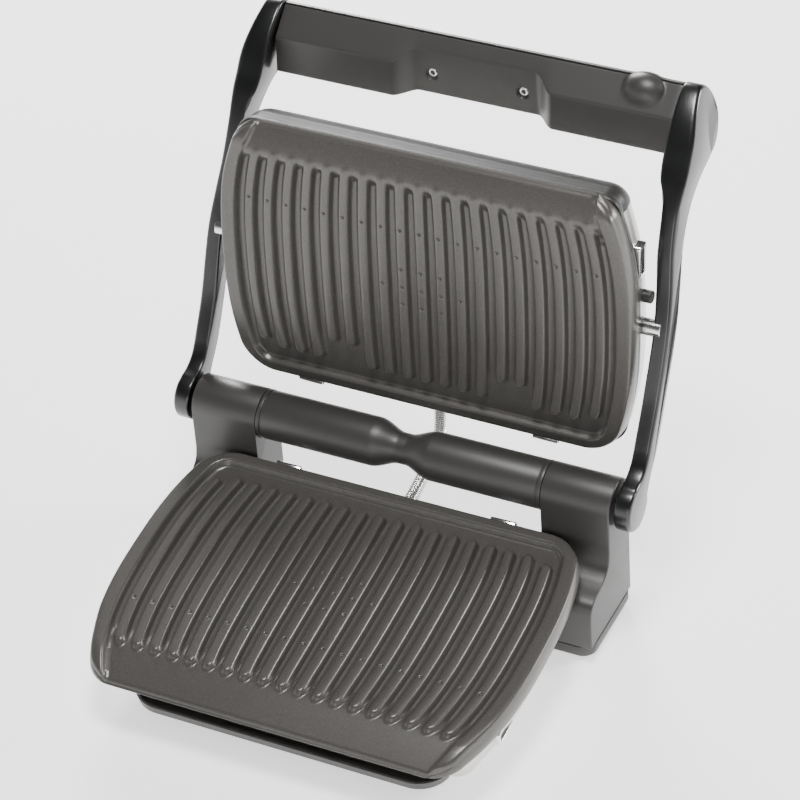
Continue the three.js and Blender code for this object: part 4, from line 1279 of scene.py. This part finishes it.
class GRILL_OT_conduit(Operator):
    """Add the flexible steel conduit across the hinge, and its two glands"""

    bl_idname = "grill.conduit"
    bl_label = "Conduit"

    def execute(self, context):
        b = in_mm(context.scene.grill_body)
        route = conduit_route()
        split = int(len(route) * CONDUIT_SPLIT)
        runs = {
            "conduit_lower": (route[:split + 1], "base", "lid"),
            "conduit_upper": (route[split:], "lid", "head"),
        }
        for name, (run, first, last) in runs.items():
            tube = ridged_tube(name, run, b.conduit)
            dress(tube, "bright", "conduit")
            ends = ON_BASE(run[[8, -8]])
            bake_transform(tube)
        glands = {"base": (ON_BASE, GLAND_BASE_Y, CONDUIT_LOW), "head": (ON_HEAD, GLAND_HEAD_Y, CONDUIT_HIGH)}
        for body, (place, y, z) in glands.items():
            gland = turned(f"gland_collar_{body}", place, COLLAR, (CONDUIT_X, y, z), 1, 40)
            wear(gland, body, "dark", f"conduit_gland_{body}")
        return {"FINISHED"}


# ---- studio --------------------------------------------------------------------------------------
CAMERA_OFFSET = (0.8894, -1.5503, 1.5929)       # the camera from the deck point, in metres
CAMERA_YAW, CAMERA_PITCH, CAMERA_ROLL = 0.4891, 0.6728, -0.0753
CAMERA_LENS = 152.99
# place and side in metres and power in watts of the soft lights
LIGHTS = {
    "top": ((0.2, -0.2, 2.4), 0.7, 62.0),
    "front": ((0.5, -2.3, 0.7), 0.8, 9.0),
    "back": ((-1.0, 1.7, 1.0), 0.7, 55.0),
    "side": ((1.9, 1.3, 0.9), 0.6, 45.0),
}


def area_light(name, place, aim, size, power):
    """A square soft light at a place, turned to face the aim point."""
    data = bpy.data.lights.new(name, "AREA")
    data.shape, data.size, data.energy = "SQUARE", size, power
    light = bpy.data.objects.new(name, data)
    light.location = place
    light.rotation_euler = (Vector(aim) - Vector(place)).to_track_quat("-Z", "Y").to_euler()
    bpy.context.scene.collection.objects.link(light)


def set_camera():
    """The camera: yaw about the vertical, pitch down, then roll about its own axis."""
    yaw, pitch, roll = CAMERA_YAW, CAMERA_PITCH, CAMERA_ROLL
    ahead = Vector((-math.sin(yaw) * math.cos(pitch), math.cos(yaw) * math.cos(pitch), -math.sin(pitch)))
    level = Vector((math.cos(yaw), math.sin(yaw), 0.0))
    lift = level.cross(ahead)
    right = math.cos(roll) * level + math.sin(roll) * lift
    up = -math.sin(roll) * level + math.cos(roll) * lift
    turn = Matrix((right, up, -ahead)).transposed().to_4x4()
    data = bpy.data.cameras.new("camera")
    data.lens, data.clip_start, data.clip_end = CAMERA_LENS, 0.05, 20.0
    camera = bpy.data.objects.new("camera", data)
    camera.matrix_world = Matrix.Translation(Vector(ON_DECK.origin) + Vector(CAMERA_OFFSET)) @ turn
    bpy.context.scene.collection.objects.link(camera)
    bpy.context.scene.camera = camera


def pale_floor():
    """A wide pale disc that curves up at its edge: height 0.9 ((r - 1.6) / 2.4)^2 outside 1.6 m."""
    r = np.concatenate([[0.0], np.linspace(0.4, 1.6, 4), np.linspace(1.9, 4.0, 12)])
    sides = 72
    angle = np.linspace(0.0, 2 * math.pi, sides, endpoint=False)
    height = 0.9 * (np.maximum(r - 1.6, 0.0) / 2.4) ** 2
    across = r[:, None]
    rings = np.stack([across * np.cos(angle), across * np.sin(angle), height[:, None] + 0 * angle], -1)
    floor = piece("floor", rings, quads(len(r), sides, False, True).tolist(), welded=True)
    s = Sheet("pale_floor")
    cloud = s.noise(3.0, 3.0)
    tone = s.blend(cloud, shade((0.88, 0.88, 0.88)), shade((0.93, 0.93, 0.93)))
    floor.data.materials.append(s.finish(Base_Color=tone, Roughness=0.8 + cloud * 0.05, Emission_Color=tone,
                                         Emission_Strength=1.25))


def studio_sky(tree):
    """White walls under a grey ceiling: the light falls from the horizon to about 35 degrees up."""
    where = tree.nodes.new("ShaderNodeTexCoord")
    split = tree.nodes.new("ShaderNodeSeparateXYZ")
    fall = tree.nodes.new("ShaderNodeMapRange")
    fall.interpolation_type = "SMOOTHSTEP"
    for key, value in (("From Min", 0.1), ("From Max", 0.6), ("To Min", 0.7), ("To Max", 0.1)):
        fall.inputs[key].default_value = value
    tree.links.new(where.outputs["Generated"], split.inputs["Vector"])
    tree.links.new(split.outputs["Z"], fall.inputs["Value"])
    tree.links.new(fall.outputs["Result"], tree.nodes["Background"].inputs["Strength"])
    tree.nodes["Background"].inputs["Color"].default_value = (1.0, 1.0, 1.0, 1.0)


class GRILL_OT_stage(Operator):
    """Add the camera, the soft studio light and the pale floor"""

    bl_idname = "grill.stage"
    bl_label = "Studio"

    def execute(self, context):
        set_camera()
        world = bpy.data.worlds.new("studio")
        world.use_nodes = True
        studio_sky(world.node_tree)
        context.scene.world = world
        aim = ON_DECK((0.0, 60.0, 80.0))
        for name, (place, size, power) in LIGHTS.items():
            area_light(name, place, aim, size, power)
        pale_floor()
        return {"FINISHED"}


# ---- panel ---------------------------------------------------------------------------------------
STEPS = (GRILL_OT_finishes, GRILL_OT_stage, GRILL_OT_plates, GRILL_OT_base, GRILL_OT_hinge, GRILL_OT_tub,
         GRILL_OT_latches, GRILL_OT_tray, GRILL_OT_arms, GRILL_OT_handle, GRILL_OT_handle_fittings,
         GRILL_OT_head, GRILL_OT_pins, GRILL_OT_conduit)
GROUPS = {"grill_plate": GrillPlateSizes, "grill_body": GrillBodySizes, "grill_colours": GrillColours}


class GRILL_PT_panel(Panel):
    """Sizes, colours and steps of the grill"""

    bl_idname = "GRILL_PT_panel"
    bl_label = "Contact Grill"
    bl_space_type = "VIEW_3D"
    bl_region_type = "UI"
    bl_category = "Grill"

    def draw(self, context):
        for name, group in GROUPS.items():
            box = self.layout.box()
            for key in group.__annotations__:
                box.prop(getattr(context.scene, name), key)
        for step in STEPS:
            self.layout.operator(step.bl_idname)


def register():
    """Registers the classes and hangs the property groups on the scene."""
    for group in GROUPS.values():
        bpy.utils.register_class(group)
    for name, group in GROUPS.items():
        setattr(bpy.types.Scene, name, PointerProperty(type=group))
    for step in STEPS:
        bpy.utils.register_class(step)
    bpy.utils.register_class(GRILL_PT_panel)


def unregister():
    """Takes everything that register added away again."""
    bpy.utils.unregister_class(GRILL_PT_panel)
    for step in reversed(STEPS):
        bpy.utils.unregister_class(step)
    for name, group in GROUPS.items():
        delattr(bpy.types.Scene, name)
        bpy.utils.unregister_class(group)


def main():
    """Takes every step in order."""
    register()
    for step in STEPS:
        group, operator = step.bl_idname.split(".")
        getattr(getattr(bpy.ops, group), operator)()


if __name__ == "__main__":
    main()
